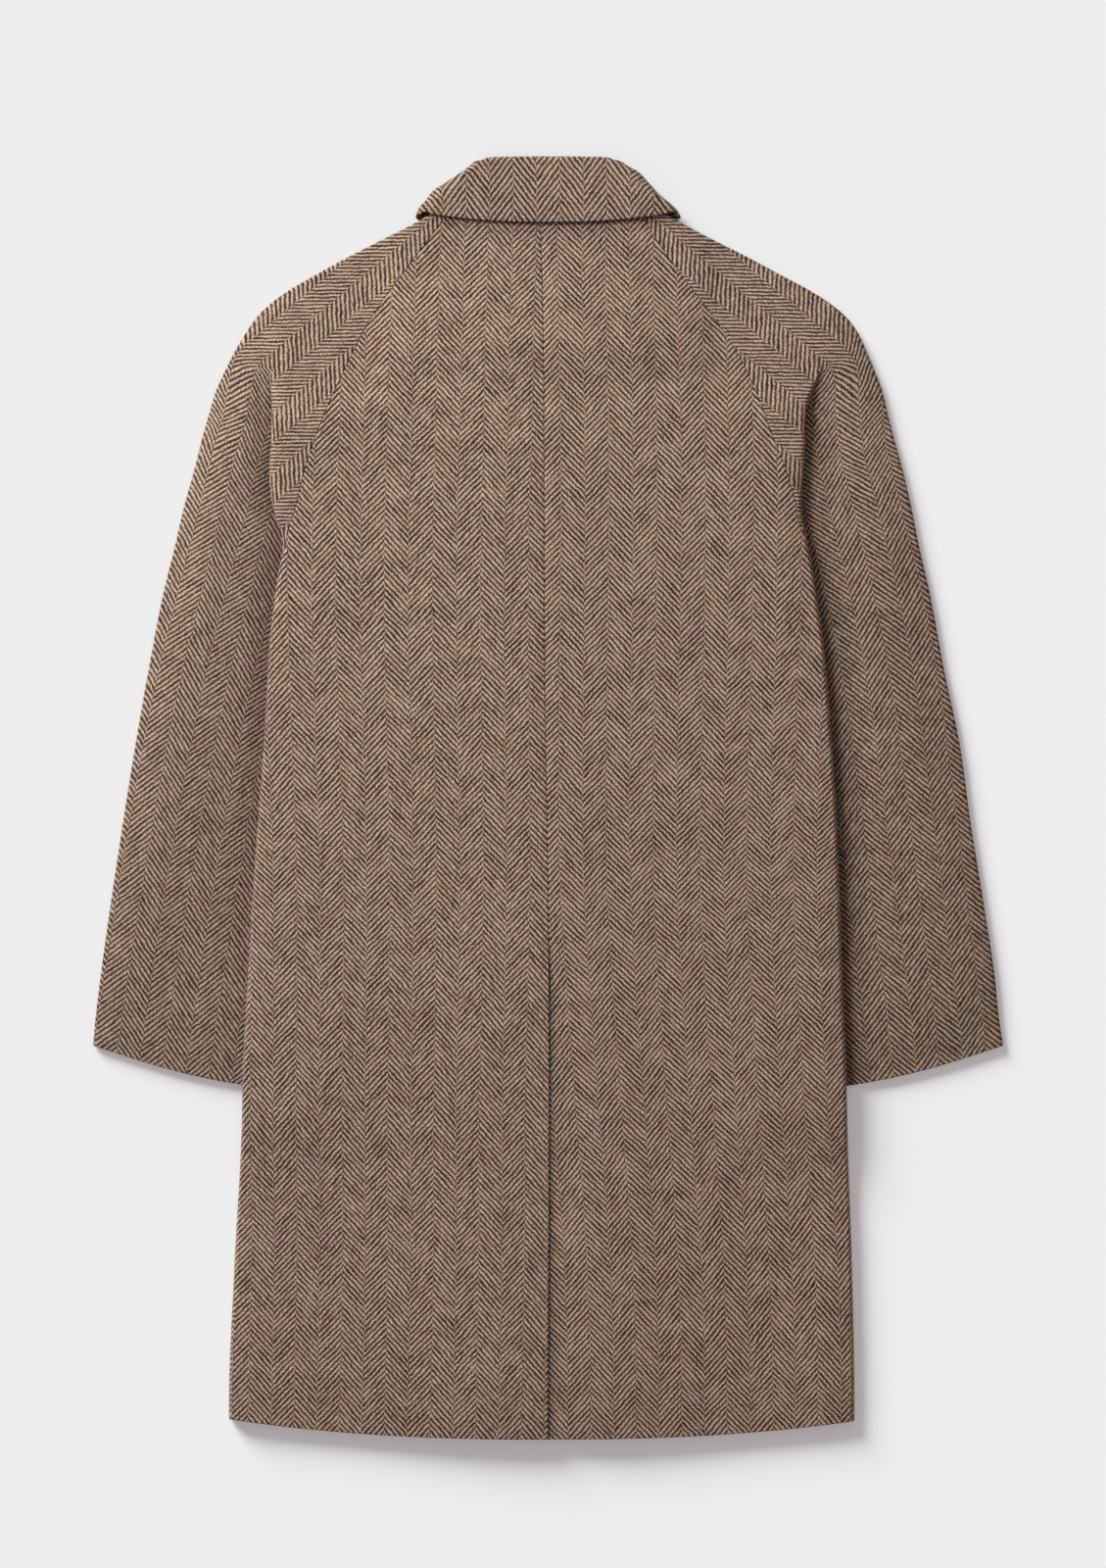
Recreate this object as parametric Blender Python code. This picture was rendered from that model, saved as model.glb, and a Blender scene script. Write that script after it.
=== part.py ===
"""Raglan overcoat in herringbone tweed, laid flat with its back up.

Every cut panel is a thin wall of cloth made from rows of points. A row crosses its panel from the
inside edge to the outside edge. Sizes are in millimetres: height is measured up from the hem and
across is measured out from the centre line, so one function makes both halves of the coat.
"""
import math

import bpy
import numpy as np

# Cloth and folds
CLOTH = 2.2
HALF = CLOTH / 2
FOLD = 2.0
LAYER = 2 * FOLD
SEAM = 0.3
FLOOR = HALF
HALF_TURN_STEPS = 4
QUARTER_TURN_STEPS = 2
FLAT_STEP = 32.0

# Heights of the main points
NECK_BACK = 1033.7
NECK_FRONT = 1006.0
BACK_NECK_BLEND = 962.0
FRONT_NECK_BLEND = 910.0
PLEAT_TOP = 890.0
PLEAT_RUN = 50.0
UNDERARM = 700.0
INNER_TURN_TOP = 680.0
VENT_TOP = 380.0
VENT_LAP_TOP = 362.0
VENT_LAP = 45.0
VENT_RISE = 3.0
VENT_RUN = 60.0
VENT_SOFT_REACH = 55.0
VENT_SOFT_RUN = 50.0

# Hem, cuff and front closing
HEM_RISE = 15.0
HEM_REACH = 255.0
HEM_BLEND = 120.0
HEM_MOST = 1.2
HEM_POWER = 2.4
CUFF_SAG = 5.0
CUFF_SAG_TOP = 430.0
CUFF_SAG_RUN = 120.0
CLOSING = 45.0
CLOSING_STEPS = (2.0, 12.0, 23.0)
CLOSING_RUN = 20.0
CLOSING_TOP = 1011.0
CLOSING_TOP_RUN = 30.0
FRONT_CORNER = 139.0
FRONT_FADE = 35.0
SIDE_RISE = 90.0
RISE_SHARES = (0.0, 0.25, 0.5, 0.75, 1.0)
STEP_LEAST = 4.0
SIDE_CLEAR = 4.0
CUFF_CLEAR = 258.0
CUFF_RUN = 28.0

# Pleat at the underarm: length of its hidden leg
LEG_START = 2.0
LEG_AT_JOIN = 45.0
UNDERARM_ACROSS = 143.4
SEAM_TURN = 0.5
SEAM_INSET = 1.0
LEAST_TURN = 0.05
LEAST_SEAM_TURN = 0.2
LEAST_PLEAT_TURN = 0.1
LEAST_LEG = 0.5
LEAST_WEDGE = 20.0
LEAST_UNDER = 1.5
UNDER_SHARES = (0.35, 0.7, 1.0)
PLEAT_CLEAR = 4.0
UNDERARM_CLEAR = 6.0

# Visible folded edge: pleat above the underarm, side of the body below it
# (height, left, right)
FOLDED_EDGE = (
    (890, 236, 231), (880, 232.5, 223), (860, 231, 216), (830, 232, 215), (800, 233, 213),
    (775, 229, 212), (750, 221.5, 217), (735, 223.5, 220), (705, 228.5, 224.5), (670, 232.5, 229.5),
    (600, 236.5, 236), (530, 241.5, 240.5), (455, 247, 244), (385, 251, 246), (313, 255, 249),
    (253, 256.5, 250.5), (154, 262, 254), (20, 267, 256.3), (0, 267, 256.3),
)

# Raglan seam on the back (height, left, right)
RAGLAN_BACK = (
    (1033.7, 76.1, 70.1), (1020, 87, 80), (990, 109, 99), (960, 132, 122), (930, 152, 144), (900, 167, 163),
    (870, 181, 176), (840, 193, 187), (810, 203, 199), (780, 210.5, 208), (762, 216, 213),
    (747, 220, 217),
)

# Raglan seam on the front, which lies underneath (height, across)
RAGLAN_FRONT = (
    (1006, 76), (990, 91), (960, 116), (930, 134), (900, 147), (870, 156), (840, 161), (800, 162),
    (760, 155), (735, 148), (720, 143), (700, 136),
)

# Outer edge of the sleeve, from the neck over the shoulder to the cuff (height, left, right)
SLEEVE_EDGE = (
    (1027.5, 93.5, 93.5), (1021, 104, 104), (1015, 114.5, 114.5), (1007, 130.5, 130), (990.6, 163.5, 163),
    (974, 194, 194), (958, 221, 223.5), (941, 241.5, 247), (925, 253, 259.5), (908.6, 262.8, 267),
    (892, 271, 274), (876, 278.4, 280), (859, 283.3, 284), (843, 288, 288), (810, 296.4, 297),
    (777, 305.5, 304.6), (745, 312.8, 311), (712, 321, 318.6), (646, 334, 331), (580, 345.6, 344.8),
    (515, 356, 353.8), (449, 366, 364.5), (384, 375, 374.3), (351, 379, 377.6), (329, 381, 381),
)

# Inner edge of the sleeve, hidden under the body (height, across)
SLEEVE_INNER = ((690, 143), (600, 160), (500, 180), (400, 200), (291, 222))

# Side seam, folded under the body (height, across)
SIDE_SEAM = ((690, 147), (675, 148), (600, 163), (500, 181), (400, 196), (291, 205), (0, 212))

# Centre back seam, in millimetres to the right of the centre line (height, across)
CENTRE_BACK = ((1033.7, -6.2), (900, -3.7), (680, -2.9), (380, 0.8), (0, 0.0))

# Rows of the body from neck to hem
BACK_TOP_ROWS = (NECK_BACK, 1016, 990, 962, 935, 910, 890, 878, 868, 858, 848, 838, 812, 785)
FRONT_TOP_ROWS = (NECK_FRONT, 998, 984, 962, 935, 910, 890, 868, 838, 812, 785)
UNDERARM_ROWS = (770, 762, 755, 747, 738, 724, 710, 700)
LOWER_ROWS = (690, 675, 630, 560, 490, 430, 395, 380, 362, 330, 300, 286, 272, 258, 200, 120, 60, 20, 0)

# Rows of the sleeve above the pleat: height at the back seam, at the front seam, at the outer edge
SHOULDER_ROWS = (
    (NECK_BACK, NECK_FRONT, 1027.5), (1016, 998, 1016), (990, 984, 1004), (962, 962, 986), (935, 935, 962),
    (910, 910, 930), (890, 890, 898),
)
PLEAT_ROWS = (878, 868, 858, 848, 838, 812, 785)

# Rows of the sleeve below the underarm: height at the inner edge, at the outer edge
ARM_ROWS = (
    (690, 690), (675, 677), (630, 636), (570, 582), (500, 518), (430, 454), (360, 390), (320, 354),
    (291, 329),
)

# Collar, one half: where its fold starts, where its edge ends, and how far down its stand reaches
# (fold across, fold height, edge across, edge height, stand share)
COLLAR_BACK = (
    (0, 1070, 0, 1017, 0.72), (20, 1070, 34, 1017.5, 0.72), (37, 1070, 64, 1019.5, 0.72),
    (47, 1070, 82, 1021.5, 0.738), (53, 1069.5, 92.5, 1023, 0.783), (56.2, 1067.2, 100, 1024.5, 0.864),
)
COLLAR_FRONT = (
    (56.2, 1067.2, 102, 1013.5, 0.69), (45, 1030, 85, 965, 0.5), (25, 1008, 66, 938, 0.3),
    (5, 992, 45, 918, 0.12),
)
COLLAR_TURN_STEPS = 5
COLLAR_FALL_STEPS = 4
COLLAR_STAND_STEPS = 2
COLLAR_SINK = 3.0
COLLAR_CORNER = 3.5
COLLAR_CORNER_SHARE = 0.72
COLLAR_CORNER_RUN = 18.0
COLLAR_REACH = 118.0
COLLAR_LOW = 880.0
COLLAR_RUN = 32.0

# How much fuller the side of the collar is, from its fold to its edge (share, left, right)
COLLAR_SIDE = (
    (0.0, 0, 0), (0.2, 0.5, 2.5), (0.4, 4, 3), (0.6, 8, 3.5), (0.75, 7.5, 5), (0.9, 7.5, 6.5), (1.0, 5, 5),
)

TWEED = (0.21, 0.16, 0.125, 1.0)
TWEED_ROUGHNESS = 0.92


def smooth(value):
    """Ease from 0 to 1 as the value goes from 0 to 1."""
    value = min(1.0, max(0.0, value))
    return value * value * (3 - 2 * value)


def curve(table, column=1):
    """A smooth curve through one column of a table whose first column is the height."""
    rows = sorted(table)
    heights = np.array([row[0] for row in rows], float)
    values = np.array([row[column] for row in rows], float)
    slopes = np.gradient(values, heights)

    def at(height):
        height = min(max(height, heights[0]), heights[-1])
        i = min(len(heights) - 2, int(np.searchsorted(heights, height, side="right")) - 1)
        span = heights[i + 1] - heights[i]
        t = (height - heights[i]) / span
        start = values[i] * (1 + 2 * t) * (1 - t) ** 2 + slopes[i] * span * t * (1 - t) ** 2
        end = values[i + 1] * t * t * (3 - 2 * t) - slopes[i + 1] * span * t * t * (1 - t)
        return float(start + end)

    return at


centre_back = curve(CENTRE_BACK)
raglan_front = curve(RAGLAN_FRONT)
sleeve_inner = curve(SLEEVE_INNER)
side_seam = curve(SIDE_SEAM)


class Side:
    """The curves of one half of the coat, out from the centre line."""

    def __init__(self, name, sign, column, join):
        self.name = name
        self.sign = sign
        self.join = join
        self.folded = curve(FOLDED_EDGE, column)
        self.raglan_cut = curve(RAGLAN_BACK, column)
        self.outer = curve(SLEEVE_EDGE, column)
        self.collar = curve(COLLAR_SIDE, column)

    def edge(self, height):
        """Where the half turn of the folded edge starts."""
        return self.folded(height) - HALF - FOLD

    def raglan(self, height):
        """The raglan seam, which meets the folded edge at the join."""
        return min(self.raglan_cut(height), self.edge(height) - SEAM_INSET)

    def turn(self, height):
        """How far the pleat has turned under, in radians."""
        return math.pi * min(1.0, max(0.0, (PLEAT_TOP - height) / PLEAT_RUN))

    def leg(self, height):
        """Length of the pleat's hidden leg."""
        full = self.edge(UNDERARM) - FOLD - UNDERARM_ACROSS
        steps = (UNDERARM, self.join, PLEAT_TOP - PLEAT_RUN)
        return float(np.interp(height, steps, (full, LEG_AT_JOIN, LEG_START)))

    def drop(self, height):
        """How far the sleeve lies below the body at the pleat."""
        angle = self.turn(height)
        return LAYER * (1 - math.cos(angle)) + self.leg(height) * math.sin(angle)

    def inner(self, height):
        """The inmost reach of the sleeve under the body."""
        if height < UNDERARM:
            return sleeve_inner(height)
        return self.edge(height) - FOLD - self.leg(height)

    def full_rise(self, height):
        """Where the body has climbed fully onto the sleeve."""
        reach = self.inner(height) - SIDE_CLEAR
        if height > self.join:
            reach = min(reach, self.raglan(height) - SEAM)
        return reach

    def rise(self, across, height):
        """Height that the sleeve below gives to the body."""
        cuff = smooth((height - CUFF_CLEAR) / CUFF_RUN)
        start = self.full_rise(height) - SIDE_RISE
        return self.drop(height) * cuff * smooth((across - start) / SIDE_RISE)

    def seam_run(self, height):
        """Length of the body's cloth past the folded edge, from the start of its half turn."""
        share = (self.join - height) / (self.join - UNDERARM)
        turned = math.pi * FOLD * min(1.0, share / SEAM_TURN)
        return turned + self.leg(UNDERARM) * max(0.0, (share - SEAM_TURN) / (1 - SEAM_TURN))


LEFT = Side("left", -1, 1, 747.0)
RIGHT = Side("right", 1, 2, 762.0)


def collar_rise(across, height):
    """Height that the front leaf of the collar gives to what lies on it."""
    near = smooth((COLLAR_REACH + COLLAR_RUN - abs(across)) / COLLAR_RUN)
    return LAYER * near * smooth((height - COLLAR_LOW) / COLLAR_RUN)


def closing_rise(across, height):
    """Height that the lapped fronts give to what lies on them."""
    near = smooth((CLOSING + CLOSING_STEPS[-1] - abs(across)) / CLOSING_RUN)
    return LAYER * near * smooth((CLOSING_TOP - height) / CLOSING_TOP_RUN)


def vent_rise(side, across, height):
    """The left side of the vent lies on the right one."""
    if side is RIGHT:
        return 0.0
    near = smooth((VENT_LAP + VENT_SOFT_REACH - across) / VENT_SOFT_RUN)
    return VENT_RISE * near * smooth((VENT_TOP + VENT_RUN - height) / VENT_RUN)


def back_level(side, across, height):
    lift = collar_rise(across, height) + closing_rise(across, height) + side.rise(across, height)
    return FLOOR + LAYER + lift + vent_rise(side, across, height)


def front_level(side, across, height):
    fade = 1.0 if height <= UNDERARM else smooth((UNDERARM + FRONT_FADE - height) / FRONT_FADE)
    level = FLOOR + collar_rise(across, height) + fade * side.rise(across, height)
    return level + (closing_rise(across, height) if side is RIGHT else 0.0)


def stand_edge(stations):
    """Lower edge of the collar's stand, as across and height."""
    points = []
    for fold_x, fold_h, edge_x, edge_h, share in stations:
        points.append((fold_x + share * (edge_x - fold_x), fold_h + share * (edge_h - fold_h)))
    return sorted(points)


def neck_height(stations, across):
    points = stand_edge(stations)
    return float(np.interp(across, [p[0] for p in points], [p[1] for p in points]))


def hem_lift(across, height):
    share = max(0.0, 1 - height / HEM_BLEND)
    return HEM_RISE * min(HEM_MOST, abs(across) / HEM_REACH) ** HEM_POWER * share


class Row:
    """Points across a panel: a key that orders them, a place and the direction of the outer face."""

    def __init__(self):
        self.keys = []
        self.places = []
        self.faces = []

    def add(self, key, across, height, level, out=0.0, up=1.0, along=0.0):
        self.keys.append(key)
        self.places.append((across, height, level))
        self.faces.append((out, along, up))


def back_height(across, height):
    lift = 0.0
    if height > BACK_NECK_BLEND:
        seam = RAGLAN_BACK[0][2]
        lift = neck_height(COLLAR_BACK, min(across, seam)) - neck_height(COLLAR_BACK, seam)
        lift *= (height - BACK_NECK_BLEND) / (NECK_BACK - BACK_NECK_BLEND)
    return height + lift + hem_lift(across, height)


def body_stops(side, height, first, last):
    """Where the points of a body row lie: at the lapped fronts and where the body climbs the sleeve."""
    full = side.full_rise(height)
    stops = [0.0] + [CLOSING + step for step in CLOSING_STEPS]
    stops += [full - SIDE_RISE * share for share in RISE_SHARES]
    stops.append((full + last) / 2)
    kept = [first]
    for across in sorted(stops):
        if kept[-1] + STEP_LEAST < across < last - STEP_LEAST:
            kept.append(across)
    return kept[1:]


def back_row(side, height):
    """One row of a back panel, from the centre seam to the raglan seam or round the side."""
    row = Row()
    centre = side.sign * centre_back(height) + SEAM / 2
    if side is RIGHT and height <= VENT_LAP_TOP:
        centre -= VENT_LAP
    last = side.edge(height) if height <= side.join else side.raglan(height) - SEAM / 2
    for across in [centre] + body_stops(side, height, centre, last) + [last]:
        place = back_height(across, height)
        row.add(3 * across / last, across, place, back_level(side, across, place))
    if height <= side.join:
        wrap_round_side(row, side, height)
    return row


def wrap_round_side(row, side, height):
    """Carry a back row round the folded edge and in under the body."""
    edge = side.edge(height)
    level = back_level(side, edge, height) - FOLD
    end = side_seam(height) + SEAM / 2
    turned = math.pi
    if height >= UNDERARM:
        run = side.seam_run(height) - SEAM / 2
        end = edge - (run - math.pi * FOLD)
        turned = min(math.pi, run / FOLD)
    if turned < LEAST_SEAM_TURN:
        return
    for i in range(1, HALF_TURN_STEPS + 1):
        angle = turned * i / HALF_TURN_STEPS
        place = edge + FOLD * math.sin(angle)
        row.add(3 + angle / math.pi, place, back_height(edge, height), level + FOLD * math.cos(angle),
                math.sin(angle), math.cos(angle))
    if end > edge - LEAST_UNDER:
        return
    stops = [edge + (end - edge) * share for share in UNDER_SHARES]
    full = side.full_rise(height)
    climb = [full - SIDE_RISE * share for share in RISE_SHARES]
    stops += [across for across in climb if end + STEP_LEAST < across < edge - STEP_LEAST]
    for across in sorted(stops, reverse=True):
        key = 4 + (edge - across) / (edge - end)
        level = back_level(side, across, height) - LAYER
        row.add(key, across, back_height(across, height), level, 0.0, -1.0)


def front_height(across, height):
    lift = 0.0
    if height > FRONT_NECK_BLEND:
        seam = RAGLAN_FRONT[0][1]
        lift = neck_height(COLLAR_FRONT, min(abs(across), seam)) - neck_height(COLLAR_FRONT, seam)
        lift *= (height - FRONT_NECK_BLEND) / (NECK_FRONT - FRONT_NECK_BLEND)
    return height + lift + hem_lift(across, height)


def front_end(height):
    """Outer edge of a front: its raglan seam above the underarm, its side seam below."""
    if height >= UNDERARM:
        return raglan_front(height) - SEAM / 2
    if height > INNER_TURN_TOP:
        return FRONT_CORNER
    return side_seam(height) - SEAM / 2


def front_row(side, height):
    row = Row()
    end = front_end(height)
    for across in [-CLOSING] + body_stops(side, height, -CLOSING, end) + [end]:
        key = (across + CLOSING) / (end + CLOSING)
        place = front_height(across, height)
        row.add(key, across, place, front_level(side, across, place), 0.0, -1.0)
    return row


def sleeve_level(across, height):
    return FLOOR + collar_rise(across, height)


def sleeve_sag(share, height):
    """The cuff bows down a little between its two corners."""
    return CUFF_SAG * math.sin(math.pi * share) * smooth((CUFF_SAG_TOP - height) / CUFF_SAG_RUN)


class SleeveLine:
    """A row of the sleeve in plan, from the seam or inner edge out to the folded outer edge."""

    def __init__(self, side, start, outer_height):
        end = (side.outer(outer_height), outer_height)
        self.start = np.array(start, float)
        self.length = math.dist(start, end)
        self.step = (np.array(end) - self.start) / self.length

    def at(self, run):
        place = self.start + self.step * run
        place[1] -= sleeve_sag(run / self.length, place[1])
        return place

    def add(self, row, key, run, level, out=0.0, up=1.0):
        across, height = self.at(run)
        row.add(key, across, height, level, out * self.step[0], up, out * self.step[1])


def outer_turn(row, line, lower):
    """Quarter turn at the outer edge, up to the seam between the sleeve's two halves."""
    edge = line.length - HALF - FOLD
    across, height = line.at(edge)
    level = sleeve_level(across, height)
    sign = -1.0 if lower else 1.0
    middle = level + FOLD if lower else level + LAYER - FOLD
    reach = math.pi / 2 - SEAM / 2 / FOLD
    line.add(row, 5.0, edge, level if lower else level + LAYER, 0.0, sign)
    for i in range(1, QUARTER_TURN_STEPS + 1):
        angle = reach * i / QUARTER_TURN_STEPS
        line.add(row, 5 + i / QUARTER_TURN_STEPS, edge + FOLD * math.sin(angle),
                 middle + sign * FOLD * math.cos(angle), math.sin(angle), sign * math.cos(angle))


def inner_turn(row, line, lower):
    """Quarter turn at the inner edge, where the two halves meet under the body."""
    across, height = line.at(FOLD)
    level = sleeve_level(across, height)
    sign = -1.0 if lower else 1.0
    middle = level + FOLD if lower else level + LAYER - FOLD
    reach = math.pi / 2 - SEAM / 2 / FOLD
    for i in range(QUARTER_TURN_STEPS):
        angle = reach * (i / QUARTER_TURN_STEPS - 1)
        line.add(row, 3 + i / QUARTER_TURN_STEPS, FOLD + FOLD * math.sin(angle),
                 middle + sign * FOLD * math.cos(angle), math.sin(angle), sign * math.cos(angle))


def flat_run(row, line, first, last, key_first, key_last, lower):
    """Even steps along the flat of a sleeve row."""
    steps = max(1, round((last - first) / FLAT_STEP))
    for i in range(steps):
        share = i / steps
        run = first + (last - first) * share
        across, height = line.at(run)
        level = sleeve_level(across, height) + (0.0 if lower else LAYER)
        key = key_first + (key_last - key_first) * share
        line.add(row, key, run, level, 0.0, -1.0 if lower else 1.0)


def pleat(row, line, side, height, begin):
    """The pleat of a row: it turns under at the folded edge and out again over its hidden leg."""
    turn = side.turn(height)
    leg = side.leg(height)
    edge = side.edge(height) - line.start[0]
    top = sleeve_level(side.edge(height), height) + LAYER + side.drop(height)
    steps = max(2, round(HALF_TURN_STEPS * turn / math.pi))
    first = begin / FOLD
    if first < turn - LEAST_PLEAT_TURN:
        for i in range(steps + 1):
            angle = first + (turn - first) * i / steps
            level = top - FOLD + FOLD * math.cos(angle)
            run = edge + FOLD * math.sin(angle)
            line.add(row, 1 + angle / turn, run, level, math.sin(angle), math.cos(angle))
    out = math.sin(turn)
    up = math.cos(turn)
    inward = begin - turn * FOLD
    if 0.0 < inward < leg - LEAST_LEG:
        line.add(row, 2.0 + inward / leg, edge - inward, top - LAYER, 0.0, -1.0)
    foot_run = edge + FOLD * out + leg * up
    foot_level = top - FOLD + FOLD * up - leg * out
    centre_run = foot_run + FOLD * out
    centre_level = foot_level + FOLD * up
    foot_turn = turn - max(0.0, inward - leg) / FOLD
    for i in range(steps + 1):
        angle = foot_turn * (1 - i / steps)
        level = centre_level - FOLD * math.cos(angle)
        run = centre_run - FOLD * math.sin(angle)
        line.add(row, 4 - angle / turn, run, level, math.sin(angle), math.cos(angle))
    return centre_run


def sleeve_back_row(side, height, outer_height):
    """One row of the back half of a sleeve."""
    row = Row()
    if height > side.join:
        line = SleeveLine(side, (side.raglan(height), height), outer_height)
        first = SEAM / 2
        key = 0.0
        if side.turn(height) > LEAST_TURN:
            edge = side.edge(height) - line.start[0]
            top = sleeve_level(side.edge(height), height) + LAYER + side.drop(height)
            line.add(row, 0.0, first, top)
            if edge - first > LEAST_WEDGE:
                line.add(row, 0.5, (first + edge) / 2, top)
            first = pleat(row, line, side, height, 0.0) + PLEAT_CLEAR
            key = 4.1
        flat_run(row, line, first, line.length - HALF - FOLD, key, 5.0, False)
    elif height >= UNDERARM:
        line = SleeveLine(side, (0.0, height), outer_height)
        begin = side.seam_run(height) + SEAM / 2
        if height == UNDERARM:
            begin += FOLD * math.pi / 2
        first = pleat(row, line, side, height, begin) + UNDERARM_CLEAR
        flat_run(row, line, first, line.length - HALF - FOLD, 4.1, 5.0, False)
    else:
        line = SleeveLine(side, (sleeve_inner(height), height), outer_height)
        if height < INNER_TURN_TOP:
            inner_turn(row, line, False)
        flat_run(row, line, FOLD, line.length - HALF - FOLD, 4.0, 5.0, False)
    outer_turn(row, line, False)
    return row


def sleeve_front_row(side, height, outer_height):
    """One row of the front half of a sleeve, which lies on the floor."""
    row = Row()
    if height >= UNDERARM:
        line = SleeveLine(side, (raglan_front(height), height), outer_height)
        flat_run(row, line, SEAM / 2, line.length - HALF - FOLD, 0.0, 5.0, True)
    else:
        line = SleeveLine(side, (sleeve_inner(height), height), outer_height)
        if height < INNER_TURN_TOP:
            inner_turn(row, line, True)
        flat_run(row, line, FOLD, line.length - HALF - FOLD, 4.0, 5.0, True)
    outer_turn(row, line, True)
    return row


def collar_station(side, station, lean, sink):
    """One line of the collar, over its fold: lean 1 is on the back, -1 underneath, 0 at the side."""
    fold_x, fold_h, edge_x, edge_h, stand_share = station
    fold = np.array([fold_x, fold_h])
    run = np.array([edge_x - fold_x, edge_h - fold_h])
    length = float(np.linalg.norm(run))
    run = run / length
    side_out = np.array([-run[1], run[0]])
    swing = math.sqrt(max(0.0, 1 - lean * lean))
    axis_level = FLOOR + 1.5 * LAYER
    row = Row()

    def add(key, down, radius, toward, outward):
        share = min(1.0, max(0.0, down) / length)
        shift = COLLAR_CORNER * swing * (1 - share)
        fuller = COLLAR_CORNER_SHARE + (1 - COLLAR_CORNER_SHARE) * smooth(down / COLLAR_CORNER_RUN)
        plan = fold + run * (down + shift) + side_out * swing * (radius * fuller + side.collar(share))
        face = run * toward + side_out * swing * outward
        lower = sink * (1 - share) if lean > 0 else 0.0
        level = axis_level + lean * (radius - lower)
        row.add(key, plan[0], plan[1], level, face[0], lean * outward, face[1])

    for i in range(COLLAR_FALL_STEPS):
        add(i / COLLAR_FALL_STEPS, length * (1 - i / COLLAR_FALL_STEPS), LAYER + FOLD, 0.0, 1.0)
    for i in range(HALF_TURN_STEPS + 1):
        angle = math.pi * i / HALF_TURN_STEPS
        add(1 + i / HALF_TURN_STEPS, -FOLD * math.sin(angle), LAYER + FOLD * math.cos(angle),
            -math.sin(angle), math.cos(angle))
    for i in range(1, COLLAR_STAND_STEPS + 1):
        down = length * stand_share * i / COLLAR_STAND_STEPS
        add(2 + i / COLLAR_STAND_STEPS, down, FOLD, 0.0, -1.0)
    return row


def collar_half(side):
    """Rows of half the collar, from the centre back round the neck to its front end."""
    rows = []
    for i, station in enumerate(COLLAR_BACK):
        rows.append(collar_station(side, station, 1.0, COLLAR_SINK * (1 - i / (len(COLLAR_BACK) - 1))))
    for i in range(1, COLLAR_TURN_STEPS):
        turned = smooth(2 * i / COLLAR_TURN_STEPS)
        station = tuple(a + (b - a) * turned for a, b in zip(COLLAR_BACK[-1], COLLAR_FRONT[0]))
        rows.append(collar_station(side, station, math.cos(math.pi * i / COLLAR_TURN_STEPS), 0.0))
    rows += [collar_station(side, station, -1.0, 0.0) for station in COLLAR_FRONT]
    return rows


def mirrored(row, sign):
    places = np.array(row.places)
    faces = np.array(row.faces)
    faces /= np.linalg.norm(faces, axis=1)[:, None]
    places[:, 0] *= sign
    faces[:, 0] *= sign
    return row.keys, places, faces


def stitch(keys_a, keys_b):
    """Triangles between two rows, as steps along the first row and the second."""
    i = j = 0
    triangles = []
    while i < len(keys_a) - 1 or j < len(keys_b) - 1:
        next_a = keys_a[i + 1] if i < len(keys_a) - 1 else math.inf
        next_b = keys_b[j + 1] if j < len(keys_b) - 1 else math.inf
        if next_a <= next_b:
            triangles.append(((0, i), (1, j), (0, i + 1)))
            i += 1
        else:
            triangles.append(((0, i), (1, j), (1, j + 1)))
            j += 1
    return triangles


def wall_mesh(rows):
    """Close the wall between the outer and inner faces of a panel's rows."""
    starts = np.cumsum([0] + [len(row[0]) for row in rows])
    count = int(starts[-1])
    places = np.concatenate([row[1] for row in rows])
    faces = np.concatenate([row[2] for row in rows])
    points = np.concatenate([places + faces * HALF, places - faces * HALF])
    triangles = []
    for r in range(len(rows) - 1):
        for corners in stitch(rows[r][0], rows[r + 1][0]):
            triangles.append(tuple(int(starts[r + which]) + step for which, step in corners))
    solid = triangles + [tuple(count + p for p in reversed(t)) for t in triangles]
    rim = [int(starts[0]) + i for i in range(len(rows[0][0]))]
    rim += [int(starts[r + 1]) - 1 for r in range(1, len(rows))]
    rim += [int(starts[-2]) + i for i in range(len(rows[-1][0]) - 2, -1, -1)]
    rim += [int(starts[r]) for r in range(len(rows) - 2, 0, -1)]
    for a, b in zip(rim, rim[1:] + rim[:1]):
        solid.append((a, b, count + b))
        solid.append((a, count + b, count + a))
    return points, solid


def signed_volume(points, triangles):
    a, b, c = (points[[t[k] for t in triangles]] for k in range(3))
    return float(np.einsum("ij,ij->i", a, np.cross(b, c)).sum())


def tweed():
    material = bpy.data.materials.new("herringbone_tweed")
    material.use_nodes = True
    shader = material.node_tree.nodes["Principled BSDF"]
    shader.inputs["Base Color"].default_value = TWEED
    shader.inputs["Roughness"].default_value = TWEED_ROUGHNESS
    shader.inputs["Metallic"].default_value = 0.0
    return material


def coat_panels():
    """The rows of every panel by name."""
    panels = {}
    for side in (LEFT, RIGHT):
        sign = side.sign
        back = BACK_TOP_ROWS + UNDERARM_ROWS + LOWER_ROWS
        panels["back_" + side.name] = [mirrored(back_row(side, h), sign) for h in back]
        front = FRONT_TOP_ROWS + UNDERARM_ROWS + LOWER_ROWS
        panels["front_" + side.name] = [mirrored(front_row(side, h), sign) for h in front]
        arm = [(h, h, h) for h in PLEAT_ROWS + UNDERARM_ROWS]
        arm = list(SHOULDER_ROWS) + arm + [(h, h, outer) for h, outer in ARM_ROWS]
        panels[f"sleeve_{side.name}_back"] = [
            mirrored(sleeve_back_row(side, back_h, outer), sign) for back_h, _, outer in arm]
        panels[f"sleeve_{side.name}_front"] = [
            mirrored(sleeve_front_row(side, front_h, outer), sign) for _, front_h, outer in arm]
    left = [mirrored(row, LEFT.sign) for row in reversed(collar_half(LEFT))]
    panels["collar"] = left + [mirrored(row, RIGHT.sign) for row in collar_half(RIGHT)[1:]]
    return panels


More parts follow.
